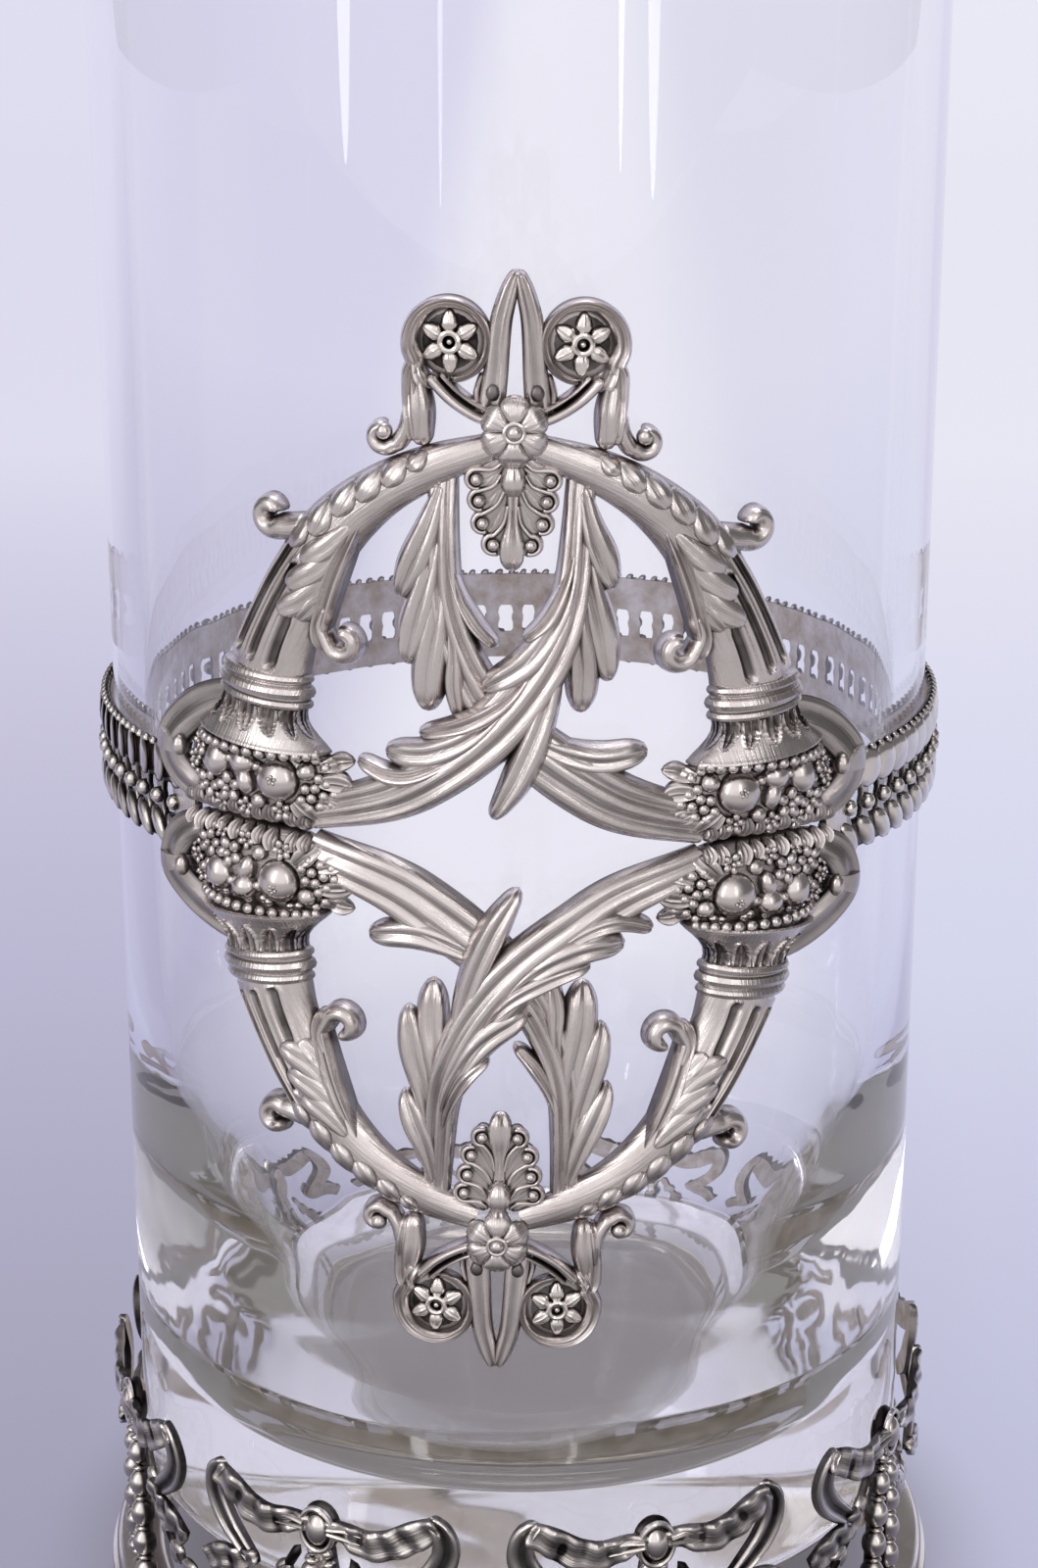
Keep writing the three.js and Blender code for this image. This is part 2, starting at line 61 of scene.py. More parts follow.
# Colours and sizes


def linear(code):
    """An sRGB hex colour as linear red, green and blue."""
    shares = [int(code[i : i + 2], 16) / 255 for i in (1, 3, 5)]
    return tuple(c / 12.92 if c <= 0.04045 else ((c + 0.055) / 1.055) ** 2.4 for c in shares)


def length(name, description, default):
    return bpy.props.FloatProperty(
        name=name, description=description, default=default, unit="LENGTH", precision=4
    )


def angle(name, description, default):
    return bpy.props.FloatProperty(
        name=name, description=description, default=math.radians(default), subtype="ANGLE"
    )


def colour(name, description, code):
    return bpy.props.FloatVectorProperty(
        name=name, description=description, default=linear(code), subtype="COLOR", min=0, max=1
    )


class GlassSettings(bpy.types.PropertyGroup):
    """Sizes of the blown vessel"""

    radius: length("Radius", "Outside radius of the glass", GLASS_BOX[1].x)
    foot: length("Foot", "Height of the underside over the table", GLASS_BOX[0].z)
    height: length("Height", "From the underside to the rim", GLASS_BOX[1].z - GLASS_BOX[0].z)
    wall: length("Wall", "Thickness of the wall at the rim", 0.0042)
    floor: length("Floor", "Thickness of the glass under the middle", 0.011)


class MountSettings(bpy.types.PropertyGroup):
    """Sizes of the belt and the medallion"""

    height: length("Height", "Height of the belt's middle over the table", 0.139)
    datum: length("Datum", "Radius at which lengths round the glass are measured", 0.0623)
    lean: angle("Lean", "How far the medallion is turned on the glass", 1.2)
    belt_end: length("Belt end", "From the front to the end of the belt, round the glass", 0.051)
    pitch: length("Pitch", "From one bead of the belt to the next", 0.0044)


class StandSettings(bpy.types.PropertyGroup):
    """Sizes of the ring of bows that carries the glass"""

    radius: length("Radius", "Inside radius of the frieze", 0.0608)
    datum: length("Datum", "Radius at which lengths round the frieze are measured", 0.0623)
    knot_height: length("Knot height", "Height of the knots over the table", 0.035)
    count: bpy.props.IntProperty(name="Bows", description="Number of bows", default=8)
    turn: angle("Turn", "How far the first pair of bows is off the front", -3)
    droop: length("Droop", "How far a swag hangs below the knots", 0.02)


class FinishSettings(bpy.types.PropertyGroup):
    """Colours of the finishes and the set"""

    silver: colour("Silver plate", "Worn face of the castings", "#dbd4d2")
    bright: colour("Bright silver", "Rubbed face of the stand", "#eae4df")
    # Laid as tarnish and as painted shade, in hollows, creases and dark backing pieces
    tarnish: colour("Tarnish", "What is left in the hollows", "#262122")
    warm: colour("Warm film", "Thin tarnish on open faces", "#b5aaa7")
    back: colour("Casting back", "Dull inside face of the castings", "#ad9b87")
    glass: colour("Glass", "Clear glass with a trace of lilac", "#fdfdff")
    scuffed: colour("Ground foot", "Worn underside of the glass", "#bdb8ae")
    grime: colour("Grime", "Film between the glass and its seat", "#8a826c")
    # Paper colours with painted light and shade: darker near the object and on the left, lighter far back
    # and on the right
    left_near: colour("Left floor", "Floor to the left of the object", "#a19fb5")
    left_middle: colour("Left middle", "Floor behind it on the left", "#bfbcd7")
    left_far: colour("Left backdrop", "Backdrop on the left", "#e4e2f5")
    right_near: colour("Right floor", "Floor to the right of the object", "#bfbfdb")
    right_middle: colour("Right middle", "Floor behind it on the right", "#d9dbf1")
    right_far: colour("Right backdrop", "Backdrop on the right", "#eeedfa")
    thrown: colour("Thrown light", "Floor behind, lit through the glass", "#f9f8ff")
    shade: colour("Shade", "Floor under the glass", "#757178")
    # Painted reflection: what the metal mirrors of the floor in front, painted dark close to the object
    # as if in its shadow, and light further off
    room: colour("Room", "Far floor as the metal mirrors it", "#d4d1d3")
    gloom: colour("Gloom", "Floor close by as the metal mirrors it", "#4c4a50")


class HolderSettings(bpy.types.PropertyGroup):
    """Everything a user may change"""

    glass: bpy.props.PointerProperty(type=GlassSettings)
    mount: bpy.props.PointerProperty(type=MountSettings)
    stand: bpy.props.PointerProperty(type=StandSettings)
    finish: bpy.props.PointerProperty(type=FinishSettings)


def settings():
    return bpy.context.scene.glass_holder


# Lines and sections


def through(given, share):
    """Rows of numbers on the smooth line through the given rows, at shares from 0 to 1."""
    ends = np.vstack([2 * given[0] - given[1], given, 2 * given[-1] - given[-2]])
    t = np.ravel(share) * (len(given) - 1)
    i = np.clip(t.astype(int), 0, len(given) - 2)
    f = (t - i)[:, None]
    a, b, c, d = (ends[i + k] for k in range(4))
    return b + f / 2 * (c - a + f * (2 * a - 5 * b + 4 * c - d + f * (3 * b - a - 3 * c + d)))


def law(values, share):
    """A value along a line: the same all along, smooth through a list, or given by a function."""
    if callable(values):
        return values(share)
    if np.isscalar(values):
        return np.full(len(share), float(values))
    return through(np.array(values, float)[:, None], share)[:, 0]


def trace(path, steps):
    """Even steps along the smooth line through a path: points, headings, shares and run."""
    given = np.array(path, float)
    fine = np.linspace(0, 1, 40 * len(given))
    line = through(given, fine)
    run = np.append(0, np.cumsum(np.linalg.norm(np.diff(line, axis=0), axis=1)))
    even = np.linspace(0, run[-1], steps + 1)
    share = np.interp(even, run, fine)
    point = through(given, share)
    heading = np.gradient(point, axis=0)
    heading /= np.linalg.norm(heading, axis=1)[:, None]
    return point, heading, share, even


def curl(u, v, start, turn, outer, inner, count=9):
    """Points of a curl that winds in round a middle."""
    points = []
    for i in range(count):
        t = i / (count - 1)
        where = math.radians(start + turn * t)
        radius = outer + (inner - outer) * t
        points.append((u + radius * math.cos(where), v + radius * math.sin(where)))
    return points


def section(*heights):
    """A section through heights at even places from its left edge to its right edge."""
    given = np.array(heights, float)[:, None]
    return lambda x: np.clip(through(given, (np.ravel(x) + 1) / 2)[:, 0].reshape(np.shape(x)), 0, None)


def dome(x):
    return np.sqrt(np.clip(1 - x * x, 0, 1))


def plank(x):
    return np.clip(1 - np.abs(x) ** 8, 0, 1) ** 0.5


ribbed = section(0.12, 0.66, 0.86, 0.86, 0.7, 0.86, 1, 0.95, 0.74, 0.88, 0.92, 0.7, 0.12)
veined = section(0.15, 0.62, 0.86, 0.7, 1, 0.7, 0.86, 0.62, 0.15)
lobed = section(0.12, 0.68, 0.9, 0.86, 0.78, 0.94, 1, 0.88, 0.62, 0.12)
husk = section(0.15, 0.65, 0.85, 0.84, 1, 0.84, 0.85, 0.65, 0.15)
twin = section(0.4, 0.8, 1, 0.8, 0.7, 0.8, 1, 0.8, 0.4)
rolled = section(0.6, 1, 0.95, 0.66, 0.5, 0.55, 0.7, 1, 0.6)
spoon = section(0.5, 1, 0.8, 0.62, 0.92, 0.62, 0.8, 1, 0.5)


def hollows(form):
    """How dark each place of a section is painted, from 0 to 1, as shade and tarnish: by how deep it lies
    below the ridges beside it, and near its outer edges.
    """
    x = np.linspace(-1, 1, 81)
    y = form(x)
    crest = np.minimum(np.maximum.accumulate(y), np.maximum.accumulate(y[::-1])[::-1])
    sunk = np.clip((crest - y - 0.08) * 2.2, 0, 1)
    edge = 0.75 * np.clip((np.abs(x) - 0.86) / 0.14, 0, 1) ** 1.5
    return lambda at: np.interp(at, x, np.maximum(sunk, edge))


# Flat modelling: u goes round, v goes up and h stands out, in millimetres

# Between a casting's back and what it is wrapped round
GAP = 0.4
# Values that the finishes read: hollow, the share of painted shade and tarnish, and the place across and
# along a strand
STRAND_VALUES = ("hollow", "across", "along")


def sheet_layers(bm):
    layers = bm.verts.layers.float
    return [layers.get(name) or layers.new(name) for name in STRAND_VALUES]


def mirrored(side, path):
    return [(side * u, v) for u, v in path]


def join(bm, bit):
    """A small part added to the piece that it belongs to."""
    mesh = bpy.data.meshes.new("bit")
    bit.to_mesh(mesh)
    bit.free()
    bm.from_mesh(mesh)
    bpy.data.meshes.remove(mesh)


def bar(
    bm, path, half, rise, base=GAP, form=dome, across=16, steps=32, tips=(0, 0), wall=0.0, carve=None,
    ground=None, dark=0.0,
):
    """A strand: a strip of grid rolled into a bar whose section runs along a path."""
    bit = bmesh.new()
    layers = sheet_layers(bit)
    point, heading, share, run = trace(path, steps)
    width = law(half, share)
    height = law(rise, share)
    ease = np.ones(steps + 1)
    for reach, gone in ((tips[0], run), (tips[1], run[-1] - run)):
        if reach:
            ease = ease * np.sqrt(1 - (1 - np.clip(gone / reach, 0, 1)) ** 2)
    width = width * ease
    height = height * ease
    spread = -np.cos(np.linspace(0, math.pi, across + 1))
    x = np.concatenate([[-1], spread, [1, 0, -1]])
    top = np.concatenate([[0], np.ones(across + 1), [0, 0, 0]])
    offset = width[:, None] * x
    u = point[:, :1] - heading[:, 1:] * offset
    v = point[:, 1:] + heading[:, :1] * offset
    lift = top * (wall + (1 - wall) * form(x)) * height[:, None]
    # Painted shade and tarnish: dark lays an even share on the whole strand, the section's hollows and
    # edges add to it, and the side walls are dark all through
    hollow = np.full(lift.shape, dark) + np.where(top > 0, hollows(form)(x), 1)
    # Carved grooves and creases add painted shade and tarnish of their own
    if carve:
        cut, depth = carve(x[None, :], share[:, None], run[:, None])
        lift = lift + top * cut * ease[:, None]
        hollow = hollow + top * depth
    floor = law(base, share)[:, None]
    if ground:
        floor = floor + ground(u, v)
    h = floor + lift
    along = np.repeat(run, len(x)).tolist()
    places = np.stack([u, v, h], -1).reshape(-1, 3).tolist()
    hollow = np.clip(hollow, 0, 1).ravel().tolist()
    offset = offset.ravel().tolist()
    made = bmesh.ops.create_grid(bit, x_segments=len(x) - 1, y_segments=steps, size=1)["verts"]
    for k, vert in enumerate(made):
        vert.co = places[k]
        vert[layers[0]] = hollow[k]
        vert[layers[1]] = offset[k]
        vert[layers[2]] = along[k]
    bmesh.ops.remove_doubles(bit, verts=made, dist=0.0004)
    join(bm, bit)


def knob(bm, place, size, turn=0, tip=0, sides=16, rings=10, dark=0.0):
    """An egg-shaped knob: size is its half length along u, v and h, turn swings it in the plane."""
    bit = bmesh.new()
    layers = sheet_layers(bit)
    bmesh.ops.create_uvsphere(bit, u_segments=sides, v_segments=rings, radius=1)
    # Painted shade and tarnish on the half of the knob that faces what it sits on, fading out a little
    # above its middle; dark sets the least
    for vert in bit.verts:
        vert[layers[0]] = min(max(dark, 0.95 - 2.8 * vert.co.z), 1)
    matrix = (
        Matrix.Translation(place)
        @ Matrix.Rotation(math.radians(turn), 4, "Z")
        @ Matrix.Rotation(math.radians(tip), 4, "Y")
        @ Matrix.Diagonal((*size, 1))
    )
    bmesh.ops.transform(bit, matrix=matrix, verts=bit.verts)
    join(bm, bit)


def ring(bm, place, size, wire, sides=28, dark=0.0):
    """A round wire bent to an oval: size is its half length along u and v."""
    bit = bmesh.new()
    layers = sheet_layers(bit)
    reach = max(size)
    matrix = Matrix.Translation((1, 0, 0)) @ Matrix.Rotation(math.pi / 2, 4, "X")
    start = bmesh.ops.create_circle(bit, segments=8, radius=wire / reach, matrix=matrix)["verts"]
    bmesh.ops.spin(
        bit, geom=start + bit.edges[:], cent=(0, 0, 0), axis=(0, 0, 1), dvec=(0, 0, 0), angle=2 * math.pi,
        steps=sides, use_merge=True,
    )
    for vert in bit.verts:
        vert[layers[0]] = dark
    oval = Matrix.Diagonal((size[0], size[1], reach, 1))
    bmesh.ops.transform(bit, matrix=Matrix.Translation(place) @ oval, verts=bit.verts)
    join(bm, bit)


def surface_of(path, half, rise, base, form):
    """The height of a bar's face over any place, so that other pieces can lie on it."""
    point, heading, share, _run = trace(path, 160)
    width, height, floor = (law(values, share) for values in (half, rise, base))
    normal = np.stack([-heading[:, 1], heading[:, 0]], 1)

    def at(u, v):
        flat = np.stack([np.ravel(u), np.ravel(v)], 1)
        gap = flat[:, None] - point[None]
        near = np.argmin((gap**2).sum(2), 1)
        side = (gap[np.arange(len(flat)), near] * normal[near]).sum(1)
        x = np.clip(side / width[near], -1, 1)
        return (floor[near] + form(x) * height[near]).reshape(np.shape(u))

    return at


# Bending and finishing

SHARP_EDGE = math.radians(42)
# A face belongs to a casting's back where it looks inwards by this much
BACKWARD = -0.75


def spun(bm, profile, steps=144, closed=True):
    """A profile of radius and height, in millimetres, spun round the upright axis."""
    verts = [bm.verts.new((r, 0, z)) for r, z in profile]
    following = verts[1:] + verts[:1] if closed else verts[1:]
    edges = [bm.edges.new(pair) for pair in zip(verts, following)]
    bmesh.ops.spin(
        bm, geom=verts + edges, cent=(0, 0, 0), axis=(0, 0, 1), dvec=(0, 0, 0), angle=2 * math.pi,
        steps=steps, use_merge=True,
    )


def wrap(bm, radius, datum, height, turn=0.0):
    """Flat millimetres laid round an upright cylinder, in metres."""
    for vert in bm.verts:
        u, v, h = vert.co
        where = u / (1000 * datum) + turn
        reach = radius + h / 1000
        vert.co = (reach * math.sin(where), -reach * math.cos(where), height + v / 1000)


def wrap_mount(bm, half=1, side=1, lean=True):
    """The upper right quarter of the medallion is modelled; half and side turn and mirror it."""
    mount = settings().mount
    swing = mount.lean if lean else 0
    c, s = math.cos(swing), math.sin(swing)
    for vert in bm.verts:
        u, v = half * side * vert.co.x, half * vert.co.y
        vert.co.x, vert.co.y = u * c + v * s, v * c - u * s
    wrap(bm, settings().glass.radius, mount.datum, mount.height)


def stand_turn(index):
    stand = settings().stand
    return stand.turn + 2 * math.pi / stand.count * (index + 0.5)


def add_piece(bm, name, body, node, slot, *materials):
    """The finished bmesh as a piece that rides on its body and stands for its CAD node."""
    rims = [edge for edge in bm.edges if edge.is_boundary]
    if rims:
        bmesh.ops.holes_fill(bm, edges=rims, sides=0)
    # The outside of the smallest beads is found rightly only at a larger size
    bmesh.ops.scale(bm, vec=(1e4, 1e4, 1e4), verts=bm.verts)
    bmesh.ops.recalc_face_normals(bm, faces=bm.faces)
    bmesh.ops.scale(bm, vec=(1e-4, 1e-4, 1e-4), verts=bm.verts)
    bm.normal_update()
    if len(materials) > 1:
        for face in bm.faces:
            out = face.calc_center_median()
            out.z = 0
            if face.normal.dot(out.normalized()) < BACKWARD:
                face.material_index = 1
    mesh = bpy.data.meshes.new(name)
    bm.to_mesh(mesh)
    bm.free()
    mesh.shade_smooth()
    mesh.set_sharp_from_angle(angle=SHARP_EDGE)
    for material in materials:
        mesh.materials.append(material)
    piece = bpy.data.objects.new(name, mesh)
    bpy.context.scene.collection.objects.link(piece)
    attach(piece, body)
    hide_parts(node)
    return piece


# Finishes

GLASS_INDEX = 1.5
# How often light is mirrored inside the glass before it leaves straight
INNER_MIRRORS = 4
# Share of its painted colour, light and shade included, that the floor gives off as a glow to whatever
# looks at it
GLOW_SHARE = 0.85


def add(tree, kind, inputs=(), **values):
    """One node with its settings, and its inputs set or linked."""
    node = tree.nodes.new(kind)
    for name, value in values.items():
        setattr(node, name, value)
    for key, value in dict(inputs).items():
        if isinstance(value, bpy.types.NodeSocket):
            tree.links.new(value, node.inputs[key])
        else:
            node.inputs[key].default_value = value
    return node


def sums(tree, operation, first, second=0.0, **values):
    """The result of one sum on two values."""
    return add(tree, "ShaderNodeMath", {0: first, 1: second}, operation=operation, **values).outputs[0]


def ranged(tree, value, low, high, first=0.0, last=1.0, **values):
    """A value carried over from one range to another."""
    inputs = {"Value": value, 1: low, 2: high, 3: first, 4: last}
    return add(tree, "ShaderNodeMapRange", inputs, **values).outputs[0]


def mixed(tree, share, first, second):
    """A colour between two, which are plain colours or come from other nodes."""
    ends = [end if isinstance(end, bpy.types.NodeSocket) else (*end, 1) for end in (first, second)]
    return add(tree, "ShaderNodeMix", {0: share, 6: ends[0], 7: ends[1]}, data_type="RGBA").outputs[2]


def noise(tree, where, scale, detail, roughness=0.5):
    inputs = {"Vector": where, "Scale": scale, "Detail": detail, "Roughness": roughness}
    return add(tree, "ShaderNodeTexNoise", inputs).outputs["Fac"]


def bumped(tree, height, strength, distance, under=None):
    """A normal disturbed by a height, on top of another one where that is given."""
    inputs = {"Height": height, "Strength": strength, "Distance": distance}
    if under is not None:
        inputs["Normal"] = under
    return add(tree, "ShaderNodeBump", inputs).outputs[0]


def far_from(tree, where):
    return add(tree, "ShaderNodeVectorMath", {0: where}, operation="LENGTH").outputs["Value"]


def blended(tree, share, first, second, output="ShaderNodeOutputMaterial"):
    """Two shaders mixed and put out."""
    both = add(tree, "ShaderNodeMixShader", {0: share, 1: first.outputs[0], 2: second.outputs[0]})
    add(tree, output, {"Surface": both.outputs[0]})


def new_material(name):
    """An empty material, its node tree and the place on the object."""
    material = bpy.data.materials.new(name)
    material.use_nodes = True
    tree = material.node_tree
    tree.nodes.clear()
    return material, tree, add(tree, "ShaderNodeTexCoord").outputs["Object"]


def principled(tree, **inputs):
    named = {name.replace("_", " "): value for name, value in inputs.items()}
    return add(tree, "ShaderNodeBsdfPrincipled", named)


def cast_silver(name, face, gloss, contrast):
    """Silver-plated cast brass, chased and rubbed: pale satin on the ridges, a brown-black colour in the
    hollows that is partly tarnish and partly painted shade, and fine file marks that run along each
    strand."""
    finish = settings().finish
    material, tree, where = new_material(name)
    hollow, across, along = (
        add(tree, "ShaderNodeAttribute", attribute_name=value).outputs["Fac"] for value in STRAND_VALUES
    )
    # File marks about 0.3 mm apart and 8 mm long
    wide = sums(tree, "MULTIPLY", across, 3.2)
    long = sums(tree, "MULTIPLY", along, 0.12)
    marks = add(tree, "ShaderNodeCombineXYZ", {"X": wide, "Y": long}).outputs[0]
    grain = noise(tree, marks, 1.0, 3.0)
    # Patches of film about 8 mm across, and pits of about 0.4 mm
    film = noise(tree, where, 120.0, 5.0, 0.6)
    pits = noise(tree, where, 2400.0, 2.0)
    # Tarnish and painted shade: the brown-black colour goes into the modelled hollows and, by ambient
    # occlusion, wherever the form closes in on itself
    closed = add(tree, "ShaderNodeAmbientOcclusion", {"Distance": 0.0014}, samples=4, only_local=True)
    buried = ranged(tree, closed.outputs["AO"], 0.68, 0.15)
    deep = sums(tree, "MULTIPLY", hollow, contrast, use_clamp=True)
    worst = sums(tree, "MAXIMUM", deep, buried)
    mottle = ranged(tree, film, 0.3, 0.7, 0.75, 1.1)
    tarnish_and_shade = sums(tree, "MULTIPLY", worst, mottle, use_clamp=True)
    thin = ranged(tree, film, 0.42, 0.75, 0.0, 0.6)
    tone = mixed(tree, tarnish_and_shade, mixed(tree, thin, face, finish.warm), finish.tarnish)
    rough = ranged(tree, grain, 0.3, 0.7, gloss - 0.06, gloss + 0.1)
    dull = add(tree, "ShaderNodeMath", {0: tarnish_and_shade, 1: 0.2, 2: rough}, operation="MULTIPLY_ADD").outputs[0]
    filed = bumped(tree, grain, 0.7, 0.00014, bumped(tree, pits, 0.12, 0.0001))
    shader = principled(tree, Base_Color=tone, Metallic=1.0, Roughness=dull, Normal=filed)
    add(tree, "ShaderNodeOutputMaterial", {"Surface": shader.outputs[0]})
    return material


def casting_back():
    """Unpolished inside of the castings: a dull beige film over silver, seen through the glass."""
    finish = settings().finish
    material, tree, where = new_material("dull_casting_back")
    # Cloudy film in patches of about 4 mm
    film = noise(tree, where, 250.0, 4.0, 0.65)
    tone = mixed(tree, ranged(tree, film, 0.35, 0.65), finish.back, finish.silver)
    bump = bumped(tree, film, 0.3, 0.0002)
    shader = principled(tree, Base_Color=tone, Metallic=0.3, Roughness=0.6, Normal=bump)
    add(tree, "ShaderNodeOutputMaterial", {"Surface": shader.outputs[0]})
    return material


def blown_glass():
    """Thick soda-lime glass, mould blown: clear, with faint upright ripples left by the mould. Lamps
    shine through it as if it were open, so the metal behind it is lit."""
    material, tree, where = new_material("blown_clear_glass")
    # Ripples about 12 mm apart and much longer upwards
    stretch = add(tree, "ShaderNodeMapping", {"Vector": where, "Scale": (80.0, 80.0, 6.0)}).outputs[0]
    bump = bumped(tree, noise(tree, stretch, 1.0, 1.0), 0.08, 0.001)
    tint = (*settings().finish.glass, 1)
    shader = principled(
        tree, Base_Color=tint, Roughness=0.0, IOR=GLASS_INDEX, Transmission_Weight=1.0, Normal=bump
    )
    clear = add(tree, "ShaderNodeBsdfTransparent", {"Color": tint})
    path = add(tree, "ShaderNodeLightPath").outputs
    spent = sums(tree, "GREATER_THAN", path["Glossy Depth"], INNER_MIRRORS - 0.5)
    blended(tree, sums(tree, "MAXIMUM", path["Is Shadow Ray"], spent), shader, clear)
    return material


def worn_glass():
    """Underside of the glass, ground flat and worn on its seat: a grey-green haze."""
    finish = settings().finish
    material, tree, where = new_material("ground_glass_foot")
    # Scuffs about 3 mm across
    rough = ranged(tree, noise(tree, where, 330.0, 4.0), 0.3, 0.7, 0.03, 0.07)
    # Grime from the seat in a ring, in streaks about 6 mm wide
    rim = ranged(tree, far_from(tree, where), 0.05, 0.061)
    streak = ranged(tree, noise(tree, where, 160.0, 3.0, 0.6), 0.4, 0.6, 0.2, 1.0)
    tone = mixed(tree, sums(tree, "MULTIPLY", rim, streak), finish.scuffed, finish.grime)
    shader = principled(
        tree, Base_Color=tone, Roughness=rough, IOR=GLASS_INDEX, Transmission_Weight=0.75
    )
    add(tree, "ShaderNodeOutputMaterial", {"Surface": shader.outputs[0]})
    return material


def finish_of(name):
    """A finish by its name, made the first time that it is asked for."""
    found = bpy.data.materials.get(name)
    if found:
        return found
    finish = settings().finish
    if name == "satin_silver_plate":
        return cast_silver(name, finish.silver, 0.23, 0.85)
    if name == "oxidised_silver_plate":
        return cast_silver(name, finish.bright, 0.16, 1.25)
    if name == "dull_casting_back":
        return casting_back()
    if name == "blown_clear_glass":
        return blown_glass()
    if name == "ground_glass_foot":
        return worn_glass()
    raise ValueError(f"no finish named {name}")


def add_casting(bm, name, node, turn, side=1, slot="silver_plate", face="satin_silver_plate"):
    """A casting of the medallion, bent round the glass."""
    wrap_mount(bm, turn, side)
    add_piece(bm, name, "mount", node, slot, finish_of(face), finish_of("dull_casting_back"))


def add_frieze(bm, name, node, index):
    """A piece of the stand's frieze, bent round at its place."""
    stand = settings().stand
    wrap(bm, stand.radius, stand.datum, stand.knot_height, stand_turn(index))
    finishes = [finish_of("oxidised_silver_plate"), finish_of("dull_casting_back")]
    add_piece(bm, f"{name}_{index + 1}", "stand", f"{node}_{index + 1}", "aged_silver", *finishes)


# Glass

# Waves inside the base, in millimetres: how high and how far in they reach, and their depth
WAVE_TOP, WAVE_START, WAVE_DEPTH = 95, 30, 0.04


def wave_inside(bm, inner, floor):
    """The inside is hand worked: low waves, 16 and 26 mm apart, slant round it and fade upwards."""
    for vert in bm.verts:
        away, height = vert.co.xy.length, vert.co.z
        if WAVE_START < away < inner + 0.1 and floor < height < WAVE_TOP:
            where = math.atan2(vert.co.y, vert.co.x)
            wave = math.sin(height / 2.6 + 3 * where) + 0.7 * math.sin(height / 4.1 - 5 * where)
            fade = min(1, (WAVE_TOP - height) / 40) * min(1, (away - WAVE_START) / 8)
            vert.co.xy *= 1 + WAVE_DEPTH * wave * fade / away


def make_glass():
    glass = settings().glass
    outer, top = glass.radius * 1000, glass.height * 1000
    floor, wall = glass.floor * 1000, glass.wall * 1000
    inner = outer - wall
    corner, lip = 2, 1.6
    heel = [
        (outer - corner + corner * math.sin(a), corner - corner * math.cos(a))
        for a in np.linspace(0, math.pi / 2, 7)
    ]
    rim = [
        (outer - wall / 2 + wall / 2 * math.cos(a), top - lip + lip * math.sin(a))
        for a in np.linspace(0, math.pi, 13)
    ]
    bowl = [
        (inner, top * 0.45), (inner - 0.5, 78), (inner - 2.2, 60), (inner - 5.2, 46), (inner - 9, 33),
        (inner - 13, 21), (inner - 17.5, 14), (inner - 24, floor + 0.3), (24, floor), (12, floor),
    ]
    inside = through(np.array(bowl, float), np.linspace(0, 1, 60))
    wall_rows = [(outer, z) for z in np.linspace(20, top - 20, 12)]
    bm = bmesh.new()
    profile = [(0, 0.5), (30, 0.4), (50, 0), *heel, *wall_rows, *rim, *inside, (0, floor)]
    spun(bm, profile, steps=180, closed=False)
    bmesh.ops.remove_doubles(bm, verts=bm.verts, dist=0.0001)
    wave_inside(bm, inner, floor)
    place = Matrix.Translation((0, 0, glass.foot)) @ Matrix.Scale(0.001, 4)
    bmesh.ops.transform(bm, matrix=place, verts=bm.verts)
    clear = finish_of("blown_clear_glass")
    vessel = add_piece(bm, "vessel", "glass", "glass_vessel", "clear_glass", clear)
    vessel.data.materials.append(finish_of("ground_glass_foot"))
    for face in vessel.data.polygons:
        if face.normal.z < -0.6 and face.center.z < glass.foot + 0.002:
            face.material_index = 1


# Belt


def make_belt():
    mount = settings().mount
    start = mount.belt_end * 1000
    end = 2 * math.pi * mount.datum * 1000 - start
    count = round((end - start) / (mount.pitch * 1000))
    pitch = (end - start) / count
    bm = bmesh.new()
    # Two strips behind the scales and the gadroons, darkened all over as painted shade and tarnish
    bar(bm, [(start, 4.3), (end, 4.3)], 2.6, 0.8, form=plank, across=8, steps=220, wall=0.6, dark=0.7)
    bar(bm, [(start, -4.9), (end, -4.9)], 2.1, 0.8, form=plank, across=8, steps=220, wall=0.6, dark=0.7)
    for i in range(count):
        u = start + pitch * (i + 0.5)
        # Overlapping scale, rope edge, bead on its post, slanting gadroon
        knob(bm, (u, 4.2, 1.3), (2.75, 2.85, 0.62), tip=-15, sides=12, rings=6, dark=0.05)
        for k in (-0.25, 0.25):
            knob(bm, (u + pitch * k, 7.0, 1.3), (0.75, 0.5, 0.6), turn=-30, sides=8, rings=5, dark=0.1)
        bar(
            bm, [(u, 2.2), (u, 0.8), (u, -0.6), (u, -2), (u, -3.3)], [1.7, 0.85, 1.15, 0.8, 1.6], 0.8,
            form=plank, across=4, steps=6, wall=0.6, dark=0.3,
        )
        knob(bm, (u, -0.55, 1.45), (1.15, 1.2, 1.1), sides=10, rings=7)
        knob(bm, (u, -4.9, 1.25), (1.5, 3.0, 0.95), turn=38, tip=-14, sides=12, rings=6, dark=0.05)
    for u in (start - 0.5, end + 0.5):
        bar(
            bm, [(u, 6.8), (u, 0), (u, -6.8)], [2.2, 2.6, 2.2], 1.1, form=plank, across=6, steps=12,
            wall=0.6,
        )
    wrap_mount(bm, lean=False)
    finishes = [finish_of("oxidised_silver_plate"), finish_of("dull_casting_back")]
    add_piece(bm, "pierced_belt", "mount", "belt_strip", "aged_silver", *finishes)


# Medallion


HALVES = {"upper": 1, "lower": -1}
SIDES = (1, -1)


def quarters():
    """Name ending, node ending and the two turns of each quarter of the medallion."""
    for half, turn in HALVES.items():
        for side in SIDES:
            yield half, "right" if turn * side > 0 else "left", turn, side


